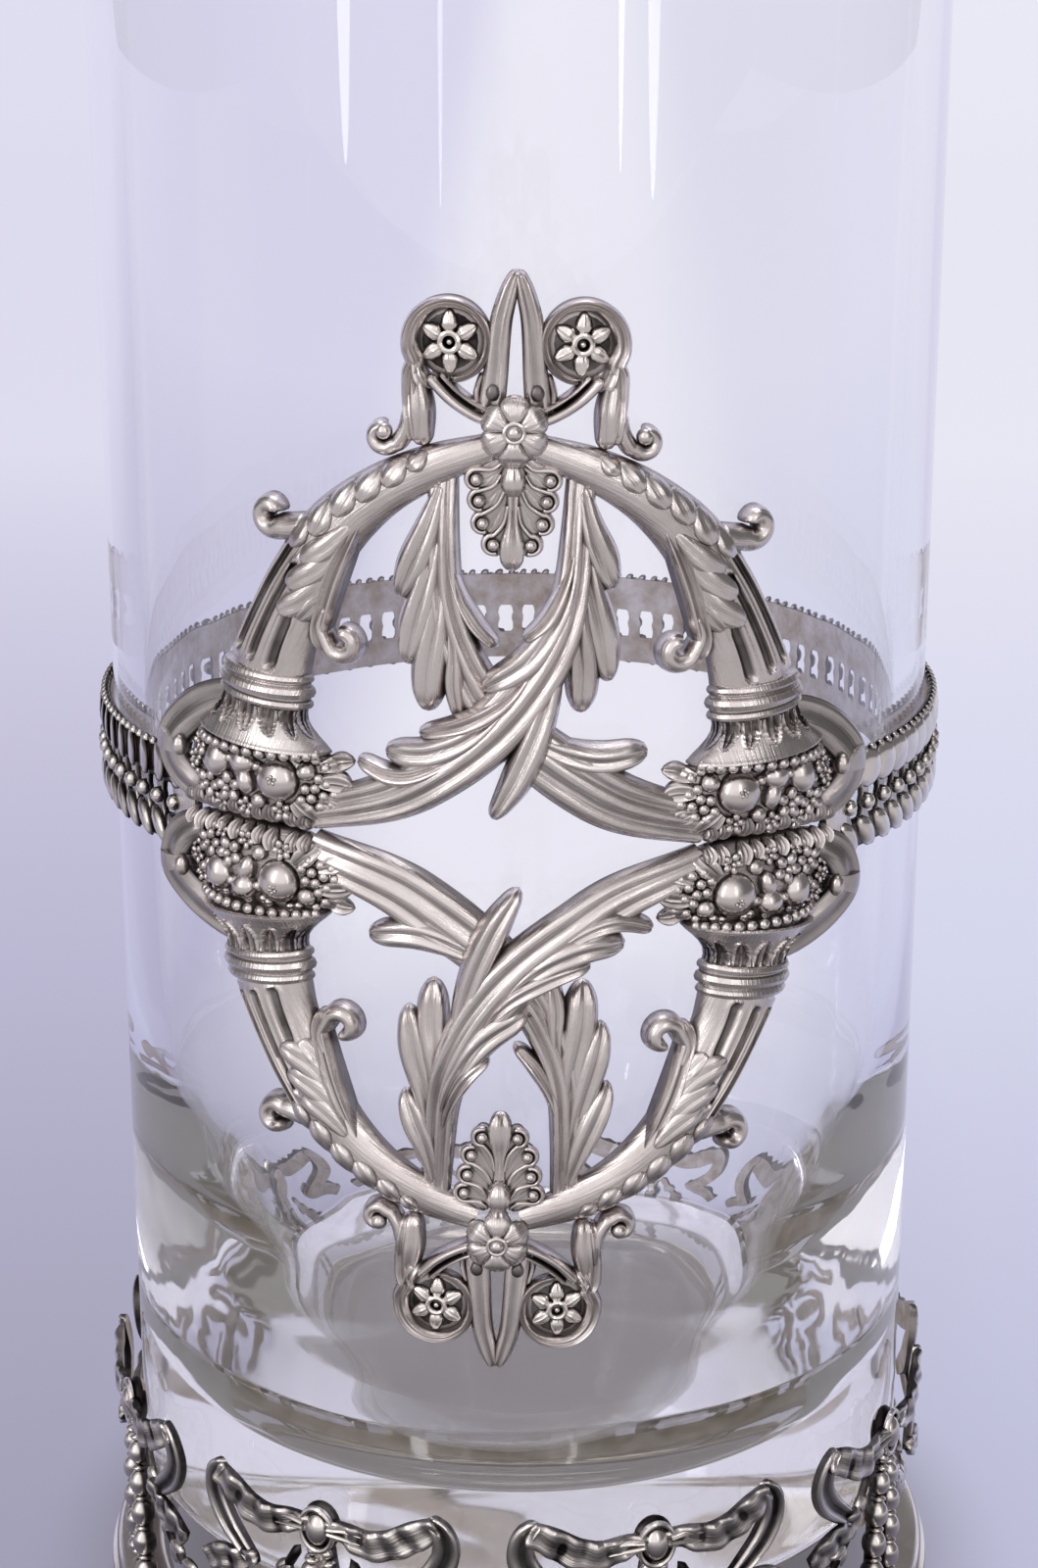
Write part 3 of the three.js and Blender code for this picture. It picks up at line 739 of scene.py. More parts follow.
HORN_PATH = [(3.2, 53), (10.5, 50.4), (17.6, 46.6), (24, 41), (28.6, 34), (31.9, 27.2), (33.9, 21.7)]
HORN_HALF = [1.9, 2.8, 3.5, 4.4, 5, 5.5, 6.3]
HORN_RISE = [1.8, 2.3, 2.8, 3.2, 3.7, 4.1, 4.4]


def swell(x):
    return np.clip(1 - np.abs(x) ** 2.1, 0, 1) ** 0.5


def flutes(x, s, _run):
    """Three round-ended flutes with raised rims in the lower third of the horn, painted dark inside as
    shade and tarnish.
    """
    cut = np.zeros(np.broadcast(x, s).shape)
    rims = np.zeros(cut.shape)
    for middle, half, first in ((-0.3, 0.125, 0.77), (0.19, 0.1, 0.64), (0.62, 0.1, 0.55)):
        past = np.maximum(0, s - 0.94) / 0.02 + np.maximum(0, first - s) / 0.03
        near = np.sqrt(((x - middle) / half) ** 2 + past**2)
        cut += np.sqrt(np.clip(1 - near**2, 0, 1))
        rims += np.clip(1 - np.abs(near - 1.5) / 0.5, 0, 1)
    return 0.22 * rims - 0.8 * cut, np.clip(1.3 * cut, 0, 1)


def make_horn(half, which, turn, side):
    bm = bmesh.new()
    bar(bm, HORN_PATH, HORN_HALF, HORN_RISE, form=swell, across=72, steps=120, carve=flutes)
    face = surface_of(HORN_PATH, HORN_HALF, HORN_RISE, GAP, swell)
    # Leaf wound round the upper half: lobes that lap one over the next, then lobes over the flutes
    wound = [
        ((10.8, 52.5), (12.2, 51.2), (13.4, 50.1), 1.25), ((13.6, 51.7), (15, 49.8), (16.4, 47.8), 1.6),
        ((17, 50.2), (18.3, 48), (19.7, 45.6), 1.75), ((20.4, 48.3), (21.6, 45.9), (22.9, 43.4), 1.75),
        ((23.8, 45.7), (24.8, 43.2), (26, 40.6), 1.8), ((26.9, 43), (28, 41), (29.4, 38.8), 1.7),
        ((20.8, 42.4), (24, 39.2), (27.4, 37), 1.7), ((22.2, 39.8), (25.2, 36.2), (29.4, 33.8), 1.75),
        ((23.2, 36.8), (26, 32.8), (30.6, 30.2), 1.8), ((24.2, 34.8), (25.6, 31.6), (27.8, 29.2), 1.3),
    ]
    for root, middle, tip, wide in wound:
        bar(
            bm, [root, middle, tip], [0.3 * wide, wide, 0.9 * wide], [0.3, 1, 0.8], base=-0.15,
            form=lobed, across=20, steps=26, tips=(1.1, 1.5 * wide), wall=0.2, ground=face,
        )
    # Leaf that leaves the horn's inner edge and ends in a scroll
    bar(
        bm, [(19.6, 43.2), (21.6, 39.2), (23.4, 35), (24.9, 30.4), (25.6, 27.4), (25, 24.9)],
        [0.6, 1.3, 1.6, 1.5, 1.35, 0.9], [2.6, 3.2, 3.3, 3, 2.7, 2.2], form=twin, across=20, steps=44,
        tips=(1, 1.2), wall=0.3,
    )
    bar(
        bm, [(24.2, 31.4), (25.2, 28.6), *curl(22.2, 26.8, -10, -290, 2.2, 0.9, 10)],
        [0.7, 1, 1.2, 1.4, 1.5, 1.55, 1.5, 1.45, 1.4, 1.3, 1.2, 1.1], 2.9, across=14, steps=60,
        tips=(0.8, 0.6),
    )
    # Scroll on the outer edge
    bar(
        bm, [(27.4, 41.4), (30, 40.8), *curl(32.8, 42.4, -130, 300, 2.2, 0.9, 10)],
        [1.7, 1.9, 1.8, 1.6, 1.55, 1.5, 1.5, 1.45, 1.4, 1.3, 1.2, 1.1], 2.8, across=14, steps=60,
        tips=(0.8, 0.6),
    )
    add_casting(bm, f"horn_{half}_{which}", f"{half}_horn_{which}", turn, side)


BELL_PATH = [(34.1, 22), (34.4, 18.6), (34.8, 15.2), (35.1, 11.8)]
# Millimetres from the collar's top, half width and rise
BELL_RINGS = [
    (0, 6.5, 4.4), (0.25, 6.9, 4.7), (0.7, 7.1, 4.9), (1.15, 6.9, 4.7), (1.35, 6.6, 4.4),
    (1.55, 6.75, 4.5), (1.8, 7.25, 5), (2.4, 7.5, 5.25), (3, 7.25, 5), (3.2, 6.8, 4.5), (3.4, 6.8, 4.5),
    (3.6, 7.15, 4.85), (4, 7.3, 5), (4.4, 7.1, 4.8), (4.6, 6.6, 4.4), (5.2, 6.55, 4.3), (6.2, 6.8, 4.4),
    (7.2, 7.5, 4.7), (8.2, 8.6, 5.1), (9, 9.7, 5.5), (9.5, 10.3, 5.8), (9.75, 10.65, 6.05),
    (10, 10.7, 6.1), (10.2, 10.3, 5.8),
]
BELL_RUN = 10.2
TONGUES = 7


def bell_law(column):
    runs = [row[0] / BELL_RUN for row in BELL_RINGS]
    sizes = [row[column] for row in BELL_RINGS]
    return lambda share: np.interp(np.linspace(0, 1, len(share)), runs, sizes)


def tongue_leaves(x, _s, run):
    """Pointed leaves with a raised outline and a dark middle, round the neck: the middles and the gaps
    between the leaves are painted dark, as shade and tarnish.
    """
    spread = np.arcsin(np.clip(x, -1, 1)) / (math.pi / 2)
    place = np.abs(((spread + 1) * TONGUES / 2) % 1 * 2 - 1)
    down = (run - 4.7) / 3.6
    inside = np.sqrt(np.clip(1 - np.clip(down, 0, 1) ** 2, 0, 1)) * 0.92
    neck = (down > 0) & (down < 1.06)
    edge = place - inside
    outline = np.clip(1 - np.abs(edge + 0.1) / 0.16, 0, 1)
    hollow = np.clip((-edge - 0.22) / 0.12, 0, 1)
    vein = np.clip(1 - place / 0.2, 0, 1) * hollow
    cut = neck * (0.5 * outline - 0.4 * hollow + 0.6 * vein)
    between = neck * np.clip((edge - 0.05) / 0.15, 0, 1) * np.clip(1.2 - down, 0, 1)
    return cut, np.maximum(neck * np.clip(hollow - vein, 0, 1), 0.7 * between)


def make_bell(half, which, turn, side):
    bm = bmesh.new()
    bar(
        bm, BELL_PATH, bell_law(1), bell_law(2), base=0.6, across=112, steps=102, carve=tongue_leaves,
    )
    # Bead row under the rim
    for i in range(14):
        a = math.radians(-66 + 132 * i / 13)
        place = (35.15 + 10.2 * math.sin(a), 11.05, 0.7 + 5.1 * math.cos(a))
        knob(bm, place, (0.78, 0.76, 0.78), sides=12, rings=8)
    add_casting(bm, f"bell_{half}_{which}", f"{half}_bell_{which}", turn, side)


def blossom(bm, u, v, h, radius, petals=5, turn=0):
    for i in range(petals):
        swing = turn + 360 * i / petals
        a = math.radians(swing)
        knob(
            bm, (u + 0.6 * radius * math.cos(a), v + 0.6 * radius * math.sin(a), h),
            (0.5 * radius, 0.38 * radius, 0.36 * radius), turn=swing, tip=-18, sides=10, rings=7,
            dark=0.03,
        )
    knob(bm, (u, v, h + 0.2 * radius), (0.26 * radius, 0.26 * radius, 0.36 * radius), sides=9, rings=7)


def make_fruit(half, which, turn, side):
    bm = bmesh.new()
    pad = [(22.8, 5.6), (28, 6.2), (35.5, 6.4), (42, 6.3), (49, 6)]
    pad_half, pad_rise = [3.4, 5.9, 6.4, 6.2, 4.6], [1.4, 2.7, 3.1, 2.7, 1.2]
    # Painted shade: the pad under the fruit is darkened all over, so that it shows dark in the gaps
    # between the fruit
    bar(bm, pad, pad_half, pad_rise, form=swell, across=24, steps=44, tips=(1.5, 1.8), dark=0.4)
    face = surface_of(pad, pad_half, pad_rise, GAP, swell)

    def top(u, v):
        return float(face(np.array([u]), np.array([v]))[0])

    # Apple with its calyx, pear, plum and small round fruit
    knob(bm, (31, 7.1, 3.3), (3.05, 3, 2.6), sides=30, rings=20)
    blossom(bm, 30.6, 7.6, 5.75, 0.7, turn=18)
    knob(bm, (36.3, 8.8, 3.8), (1.9, 1.8, 1.8), sides=20, rings=14)
    knob(bm, (35.8, 6.2, 3.8), (1.2, 1.9, 1.5), turn=-14, sides=20, rings=14)
    knob(bm, (40.9, 8, 3.3), (2.1, 2.5, 2), turn=16, sides=22, rings=14)
    knob(bm, (27, 8.7, 2.9), (1.4, 1.3, 1.4), sides=16, rings=10)
    knob(bm, (34, 3.7, 3.6), (1.1, 1.1, 1), sides=14, rings=9)
    # Berries
    for u, v in (
        (24.6, 9.3), (25.3, 7.9), (24.2, 7.2), (25.7, 6.6), (27, 6.4), (23.2, 5.9), (24.6, 5.6),
        (26.2, 5.2), (27.6, 4.8), (23.6, 4.5), (25.1, 4.1), (26.6, 3.7), (26, 10.2), (28.3, 10.3),
        (33.6, 10.2), (34.2, 8.4), (38.4, 10.3), (38.8, 8.7), (43.4, 10), (43.2, 7.2), (44.6, 8.2),
        (32.9, 10.6), (29.6, 10.6), (36.3, 10.8), (40.4, 10.7), (42, 10.7),
    ):
        knob(bm, (u, v, top(u, v) + 0.25), (0.8, 0.78, 0.85), sides=11, rings=8)
    for u, v, radius, swing in (
        (38.9, 4.6, 2.1, 10), (43, 4.2, 2, 40), (45.3, 9.4, 1.3, 0), (46.2, 7, 1.3, 30),
        (46.8, 4.6, 1.4, 10), (36.4, 2.4, 1.4, 25), (41, 2.1, 1.3, 50), (30.6, 2.8, 1.5, 5),
    ):
        blossom(bm, u, v, top(u, v) + 0.5, radius, 5, swing)
    # Pointed leaves at both ends, and the uneven frill that stands out over the foot
    leaves = [
        ((25.4, 9.3), (23.2, 10), (21, 10.3), 1.3), ((25.4, 7.4), (23, 7.5), (20.8, 7.1), 1.35),
        ((25.6, 4.6), (23.6, 4), (21.4, 3.1), 1.3), ((28.8, 4.6), (27.4, 3.2), (25.2, 1.1), 1.5),
        ((47, 9.6), (48.2, 9.6), (49.4, 9.2), 1), ((47.4, 6.2), (48.8, 6), (50, 5.4), 1.1),
        ((46.6, 3.6), (48, 2.6), (49, 1.8), 1.1),
    ]
    for root, middle, tip, wide in leaves:
        bar(
            bm, [root, middle, tip], [0.5 * wide, wide, 0.7 * wide], [0.8, 1.2, 0.8], base=-0.1,
            form=spoon, across=14, steps=14, tips=(0.3, 1.3 * wide), wall=0.3, ground=face,
        )
    for u, long, wide in (
        (27.2, 2.2, 1), (29, 2.6, 1.1), (32.4, 3, 1.2), (34.4, 2.4, 1), (36.2, 1.4, 0.9),
        (38.4, 2.6, 1.15), (40.4, 1.5, 0.9), (42.6, 2.4, 1.1), (44.8, 2.8, 1.1), (46.6, 2.2, 0.9),
    ):
        bar(
            bm, [(u, long + 0.4), (u + 0.3, long / 2 + 0.3), (u + 0.1, 0.15)],
            [0.5 * wide, wide, 0.75 * wide], [0.9, 1.2, 0.9], base=[2.7, 2.4, 1.5], form=spoon, across=12,
            steps=12, tips=(0.3, 1.1 * wide), wall=0.3,
        )
    add_casting(bm, f"fruit_{half}_{which}", f"{half}_fruit_{which}", turn, side)


def make_strap(half, which, turn, side):
    bm = bmesh.new()
    facets = section(0.2, 0.7, 1, 0.95, 0.7, 0.55, 0.68, 0.72, 0.2)
    bar(
        bm, [(38.8, 16.6), (43.4, 15.6), (47.4, 13.2), (50, 9.8), (50.1, 6.6), (48.6, 4), (45.4, 2)],
        [2.2, 2.5, 2.7, 2.7, 2.6, 2.4, 1.8], [1.2, 1.6, 1.9, 2, 1.9, 1.7, 1.2],
        base=[0.6, 0.8, 1.7, 2.8, 2.8, 2.4, 2], form=facets, across=24, steps=64, tips=(0.6, 1.6),
        wall=0.3, dark=0.42,
    )
    bar(
        bm, [(49.5, 10.1), (50.1, 8.6), (50.2, 7.2)], 2.85, 2.7, base=2.5, form=swell, across=20,
        steps=12, tips=(0.3, 0.3), wall=0.15, dark=0.3,
    )
    knob(bm, (47.6, 8.6, 4.4), (1, 1.5, 1.1), sides=16, rings=10)
    add_casting(bm, f"strap_{half}_{which}", f"{half}_strap_{which}", turn, side)


# Millimetres over the glass: a leaf that lies on it, and one that passes over another
LOW, HIGH = GAP, 2.3


def make_leaf(half, turn, over):
    """One of the two acanthus leaves that cross: the front one passes over the other."""
    if over:
        rib = [
            (8.9, 50.6), (8.4, 42), (7.8, 35.5), (6.2, 29.6), (3, 23.2), (-1.9, 16.8), (-8.6, 10.9),
            (-15.6, 6.5), (-27, 2.7),
        ]
        rib_half = [2, 2.15, 2.45, 2.9, 3.6, 4, 3.8, 3.4, 2.5]
        rib_base = [LOW, LOW, 1.1, HIGH, HIGH, HIGH, HIGH, 1.2, LOW]
        lobes = [
            ([(8.2, 42.4), (7, 36.6), (4.6, 31.6), (1.6, 28.6)], [0.4, 0.9, 1.25, 0.9],
             [LOW, 1.1, HIGH, HIGH]),
            ([(8.4, 41), (6.8, 33.4), (2.6, 26.2), (-3.3, 21.9)], [0.4, 1.4, 2.3, 1.9],
             [LOW, 1.9, HIGH, HIGH]),
            ([(4.6, 29), (0.4, 21.6), (-5, 17.6), (-11.8, 15.4)], [0.4, 1.2, 1.7, 1.1],
             [HIGH, HIGH, HIGH, 1.4]),
            ([(2.8, 25.4), (-2.8, 17.4), (-9.4, 13.3), (-16.4, 12.7)], [0.4, 1.5, 2.3, 1.8],
             [HIGH, HIGH, HIGH, 1.4]),
            ([(-2.6, 17), (-8.8, 11.6), (-14.6, 9.6), (-20.4, 11.2)], [0.4, 1.2, 1.6, 1.1],
             [HIGH, HIGH, 1.6, 0.8]),
            ([(9, 48.4), (10.2, 43.2), (11.8, 39), (13.5, 34.8)], [0.7, 1.8, 2.3, 1.2], LOW),
            ([(9, 43.4), (10.5, 35), (12.1, 28.6), (13.1, 22.6)], [0.7, 1.9, 2.4, 1.2], LOW),
            ([(8.6, 38.4), (8.7, 30.6), (9.5, 24.6), (9.5, 18.5)], [0.7, 1.8, 2.4, 1.7],
             [LOW, 1, LOW, LOW]),
            ([(6.8, 30.4), (4.6, 19.4), (1.6, 11), (-1.9, 4.6)], [0.5, 1.8, 2.2, 1], HIGH),
        ]
    else:
        rib = [
            (-9.1, 50.6), (-9, 41.4), (-8.5, 33.6), (-6.6, 27), (-3.1, 20.4), (2.5, 14.5), (9.4, 9.5),
            (16, 5.9), (27, 2.7),
        ]
        rib_half = [2, 2.15, 2.4, 2.7, 3.3, 3.9, 4.3, 4, 3]
        rib_base = LOW
        lobes = [
            ([(-9.2, 48.4), (-10.8, 42.8), (-12.8, 37.6), (-14.8, 33)], [0.7, 1.9, 2.4, 1.3], LOW),
            ([(-9.2, 43.4), (-10.8, 36), (-12.4, 29.6), (-13.6, 24.2)], [0.7, 1.9, 2.5, 1.3], LOW),
            ([(-9, 39.4), (-9.4, 31.4), (-10.4, 24.6), (-10.8, 18.1)], [0.7, 1.9, 2.6, 1.9], LOW),
            ([(-8.2, 33.6), (-7.2, 27.2), (-7, 22), (-6.2, 17.2)], [0.4, 1.1, 1.6, 1.1], LOW),
            ([(-8.4, 41.4), (-7, 35.2), (-4.6, 30.6), (-1.6, 27.2)], [0.4, 0.9, 1.25, 0.9], LOW),
            ([(-1, 18.6), (4.8, 14.6), (11.6, 12.5), (19, 13.3)], [0.4, 1.5, 2.3, 1.8], LOW),
        ]
    bm = bmesh.new()
    rib_rise = [0.9, 2.2, 2.5, 2.5, 2.5, 2.5, 2.5, 2.5, 2.3]
    bar(bm, rib, rib_half, rib_rise, base=rib_base, form=ribbed, across=64, steps=110, wall=0.12)
    for path, lobe_half, lobe_base in lobes:
        bar(
            bm, path, lobe_half, [1.4, 2.5, 2.7, 2], base=lobe_base, form=lobed, across=28, steps=44,
            tips=(0.8, 1.8 * lobe_half[3]), wall=0.12,
        )
    which = "over" if over else "under"
    add_casting(bm, f"acanthus_{half}_{which}", f"{half}_leaf_{which}", turn)


VOLUTE = (8.4, 66.3)


def make_crest(half, turn):
    bm = bmesh.new()
    u, v = VOLUTE
    for side in SIDES:
        # Pointed loop of two grooved bars, each with a round hollow at its foot
        finial = [(3, 57.6), (2.55, 62), (2.25, 66), (1.85, 69.6), (0.95, 73), (0.1, 75.4)]
        bar(
            bm, mirrored(side, finial), [1.7, 1.6, 1.5, 1.4, 1.15, 0.6], [1.7, 1.9, 2.1, 2.2, 2.2, 1.9],
            form=twin, across=20, steps=48, tips=(0, 0.9), wall=0.4,
        )
        # The round hollow is a low knob painted dark all over: painted shade and tarnish
        knob(bm, (side * 2.8, 60.2, 2), (0.95, 1.1, 0.6), sides=14, rings=8, dark=1)
        bar(
            bm, mirrored(side, [(4.6, 57.4), (4.9, 60), (4.2, 62.6)]), [0.5, 0.55, 0.4], 1.5, across=8,
            steps=16, tips=(0.3, 0.5),
        )
        # Scroll that winds round the star flower and runs down into a leaf
        stem = [(13.25, 62.2), (13.3, 59.4), (13.2, 56.6), (13.6, 54.2)]
        bar(
            bm, mirrored(side, [*curl(u, v, 268, -300, 4.75, 5.15, 15), *stem]),
            [0.45, 0.5, 0.55, 0.6, 0.65, 0.75, 0.85, 1, 1.1, 1.2, 1.2, 1.1, 0.8],
            [1.8, 2, 2.2, 2.4, 2.4, 2.2], form=twin, across=18, steps=110, tips=(0.6, 0.6), wall=0.35,
        )
        # Disc behind the star flower, painted dark: painted shade and tarnish
        knob(bm, (side * u, v, 0.8), (4.5, 4.5, 0.35), sides=30, rings=6, dark=0.55)
        # Arm from the flower: a thick and a thin strand
        bar(
            bm, mirrored(side, [(1.8, 56.1), (5, 57.2), (8.2, 59.2), (11.2, 62.2)]),
            [0.75, 0.8, 0.85, 0.9], [2.7, 2.6, 2.5, 2.4], across=12, steps=34, tips=(0.5, 0.8), wall=0.2,
        )
        bar(
            bm, mirrored(side, [(1.6, 57.4), (4.4, 58.4), (7.2, 60.2), (9.6, 62.4)]), 0.45,
            [2.3, 2.3, 2.2, 2], across=10, steps=30, tips=(0.4, 0.5),
        )
        # Leaf lobes on the scroll, and its end rolled to a curl
        for path, wide in (
            ([(12.6, 62.6), (11.9, 57.8), (11.9, 52.8)], 1.65), ([(12.8, 64), (12, 61.8), (11, 60)], 1.1),
            ([(13.6, 60), (13.3, 56.6), (12.9, 53.4)], 1),
        ):
            bar(
                bm, mirrored(side, path), [0.6 * wide, wide, 0.8 * wide], [2, 2.7, 2], form=lobed,
                across=16, steps=26, tips=(0.6, wide), wall=0.3,
            )
        end = [(13.5, 57.6), (13.9, 55.2), (14.9, 53.4), *curl(16.9, 54.1, -140, 250, 1.7, 1, 9)]
        bar(
            bm, mirrored(side, end), [1.1, 1.2, 1.2, 1.2, 1.2, 1.2, 1.15, 1.1, 1.05, 1, 0.9], 2.4,
            across=14, steps=60, tips=(0.8, 0.5),
        )
        knob(bm, (side * 16.7, 54.7, 1.9), (1.15, 1.15, 1.2), sides=14, rings=9)
    add_casting(bm, f"crest_scrolls_{half}", f"{half}_crest", turn)


def petal_ring(bm, u, v, first, reach, half, base, rise, form):
    """Six petals round a middle; reach is where they start and end."""
    for i in range(6):
        a = math.radians(first + 60 * i)
        out = (math.sin(a), math.cos(a))
        path = [(u + r * out[0], v + r * out[1]) for r in np.linspace(*reach, 4)]
        tips = (0.3, half[-1])
        bar(bm, path, half, rise, base=base, form=form, across=18, steps=22, tips=tips, wall=0.35)


def make_rosette(half, which, turn, side):
    bm = bmesh.new()
    u, v = VOLUTE
    petal_ring(bm, u, v, 2, (1.1, 4.1), [0.55, 1.1, 0.95, 0.3], 0.85, [1.0, 1.3, 1.15, 0.8], husk)
    # Disc under the petals and middle round the bead, painted dark: painted shade and tarnish
    knob(bm, (u, v, 0.95), (3.8, 3.8, 0.25), sides=24, rings=6, dark=0.8)
    ring(bm, (u, v, 1.9), (1.15, 1.15), 0.42, sides=22)
    knob(bm, (u, v, 1.3), (0.8, 0.8, 0.4), sides=12, rings=6, dark=0.9)
    knob(bm, (u, v, 1.7), (0.42, 0.42, 0.4), sides=10, rings=6)
    name, node = f"star_flower_{half}_{which}", f"{half}_rosette_{which}"
    add_casting(bm, name, node, turn, side, "aged_silver", "oxidised_silver_plate")


def make_flower(half, turn):
    bm = bmesh.new()
    half_widths, heights = [0.55, 1.2, 1.85, 1.6], [3.3, 3.4, 3.1, 2.5]
    petal_ring(bm, 0, 55.6, 0, (0.7, 4.6), half_widths, heights, [0.9, 1.1, 1.2, 1], husk)
    # Middle painted dark under its ring: painted shade and tarnish
    knob(bm, (0, 55.6, 2.7), (2.6, 2.6, 0.8), sides=20, rings=8, dark=0.9)
    ring(bm, (0, 55.6, 4.35), (1.2, 1.2), 0.3, sides=22)
    knob(bm, (0, 55.6, 4.4), (0.95, 0.95, 0.75), sides=16, rings=10)
    # Two husks that hang under the flower
    bar(
        bm, [(0, 53.4), (0, 52.2), (0, 50.6)], [0.9, 1.4, 1.2], [1.3, 1.7, 1.3], base=2.3, form=veined,
        across=18, steps=20, tips=(0.4, 1.2), wall=0.2,
    )
    bar(
        bm, [(0, 51.3), (0, 49.4), (0, 47)], [1, 1.6, 1.3], [1.4, 1.9, 1.4], base=2, form=husk, across=18,
        steps=22, tips=(0.5, 1.7), wall=0.2,
    )
    add_casting(bm, f"bloom_{half}", f"{half}_flower", turn)


def make_palmette(half, turn):
    bm = bmesh.new()
    for side in SIDES:
        # Start of each rib, and the ball that it hooks round
        for first, u, v in (
            ((1.3, 51.4), 4.7, 49.1), ((1.4, 49.9), 4.3, 46.4), ((1, 48), 3.8, 43.5),
            ((0.6, 46), 2.4, 40.8),
        ):
            start = (side * first[0], first[1])
            hook = mirrored(side, curl(u, v, 95, -215, 1.3, 1.15, 8))
            bow = (side * (first[0] * 0.5 + u * 0.5 - 0.35), (first[1] + v + 1.1) / 2 - 0.35)
            bar(
                bm, [start, bow, (side * u, v), (side * (u + 1.2), v - 0.7)], [0.8, 1.3, 1.75, 1.6],
                [0.9, 0.9, 0.8, 0.7], form=plank, across=14, steps=24, tips=(0.4, 1.7), wall=0.6,
                dark=0.35,
            )
            bar(
                bm, [start, bow, *hook], [0.35, 0.42, 0.45, 0.45, 0.42, 0.38], [0.8, 0.9, 0.9, 0.8],
                base=1.05, across=10, steps=44, tips=(0.3, 0.4),
            )
            knob(bm, (side * u, v, 1.75), (0.78, 0.78, 0.8), sides=16, rings=10)
    bar(
        bm, [(0, 50.6), (0, 47), (0, 43.8), (0, 40.6), (0, 37.2)], [1.3, 0.8, 0.8, 1.6, 1.3],
        [1.6, 1.7, 1.9, 2.2, 1.8], form=section(0.5, 0.75, 0.7, 0.8, 1, 0.8, 0.7, 0.75, 0.5), across=20,
        steps=48, tips=(0.5, 1.9), wall=0.3,
    )
    add_casting(bm, f"fan_{half}", f"{half}_palmette", turn)


# Stand


def ripples(x, _s, run):
    """Slanting creases across a ribbon, about 3.5 mm apart and uneven, with painted shade and tarnish in
    their troughs.
    """
    fold = np.sin(1.8 * run + 0.9 * x) + 0.6 * np.sin(0.83 * run - 1.3 * x + 1)
    return 0.24 * fold, 0.7 * np.clip(-fold - 0.5, 0, 1)


def make_bow(index):
    ribbon = section(0.45, 0.95, 0.9, 0.72, 0.66, 0.74, 0.9, 1, 0.5)
    bm = bmesh.new()
    for side in SIDES:
        # Turned-over end and return of the loop, its front, and the loose tail
        loop = [(16.8, 5.2), (18.7, 3), (19.2, -0.6), (17.6, -4), (14.6, -6.8), (11.4, -9.4)]
        bar(
            bm, mirrored(side, loop), [0.9, 1.6, 2, 2, 1.6, 1.1], [1.2, 1.4, 1.4, 1.4, 1.4, 1.2],
            base=[1.9, 1.7, 1.3, 1.2, 1.3, 1.5], form=rolled, across=20, steps=64, tips=(0.8, 0.8),
            wall=0.4,
        )
        bar(
            bm, mirrored(side, [(1, 0.6), (4.4, 0.3), (8, -0.5), (11.6, 0.3), (15, 2.2), (18.4, 3.8)]),
            [1.1, 1.75, 2.2, 2.3, 2.2, 1.7], 1.05, base=[1.5, 1.9, 2.2, 2.3, 2.2, 2], form=ribbon,
            across=24, steps=90, tips=(0, 0.7), wall=0.55, carve=ripples,
        )
        bar(
            bm, mirrored(side, [(10.6, -7.8), (14.2, -9.8), (18, -10.6), (21.6, -12.8)]),
            [1, 1.8, 2, 1.8], 1, base=[2, 2.1, 2, 1.8], form=ribbon, across=20, steps=46, tips=(0.5, 0.3),
            wall=0.5, carve=ripples,
        )
        # Gathers beside the knot
        for rise in (-0.55, 0.7):
            bar(
                bm, mirrored(side, [(2, 0.4 + 0.6 * rise), (4.6, 0.3 + rise), (7.4, -0.3 + rise)]),
                [0.45, 0.4, 0.15], [1, 0.8, 0.3], base=2.4, across=8, steps=16, tips=(0, 0.4),
            )
        # String of husks down to the foot ring
        line = mirrored(side, [(1, -3), (2.3, -11.5), (3, -20), (3.5, -29)])
        point, heading, _share, _run = trace(line, 52)
        # The string under the husks is painted dark: painted shade and tarnish
        bar(bm, line, 0.8, 1.2, base=0.3, across=8, steps=24, dark=0.8)
        for at, wide, long in (
            (2, 0.95, 0.9), (5, 1.15, 0.55), (10, 1.5, 2), (15, 1.15, 0.5), (20, 1.65, 2.3),
            (25, 1.2, 0.5), (30, 1.7, 2.4), (35, 1.2, 0.5), (40, 1.7, 2.4), (45, 1.2, 0.5),
            (49, 1.5, 1.6),
        ):
            swing = math.degrees(math.atan2(heading[at][1], heading[at][0])) + 90
            knob(bm, (*point[at], 1.5), (wide, long, 1.15 * wide), turn=swing, sides=14, rings=10)
    # Cabochon in its oval frame, and the leaf under it
    # The setting under the cabochon is painted dark: painted shade and tarnish
    knob(bm, (0, 0, 1), (3.1, 3.9, 1.5), sides=24, rings=10, dark=0.8)
    ring(bm, (0, 0, 2.5), (2.6, 3.35), 0.48, sides=36)
    knob(bm, (0, 0, 2.1), (1.9, 2.6, 1.6), sides=28, rings=16)
    bar(
        bm, [(0, -3.4), (0, -6), (0, -9)], [1.2, 1.6, 1.1], 1.4, base=0.5, form=veined, across=16,
        steps=20, tips=(0, 1.2), wall=0.3,
    )
    add_frieze(bm, "ribbon_bow", "stand_bow", index)


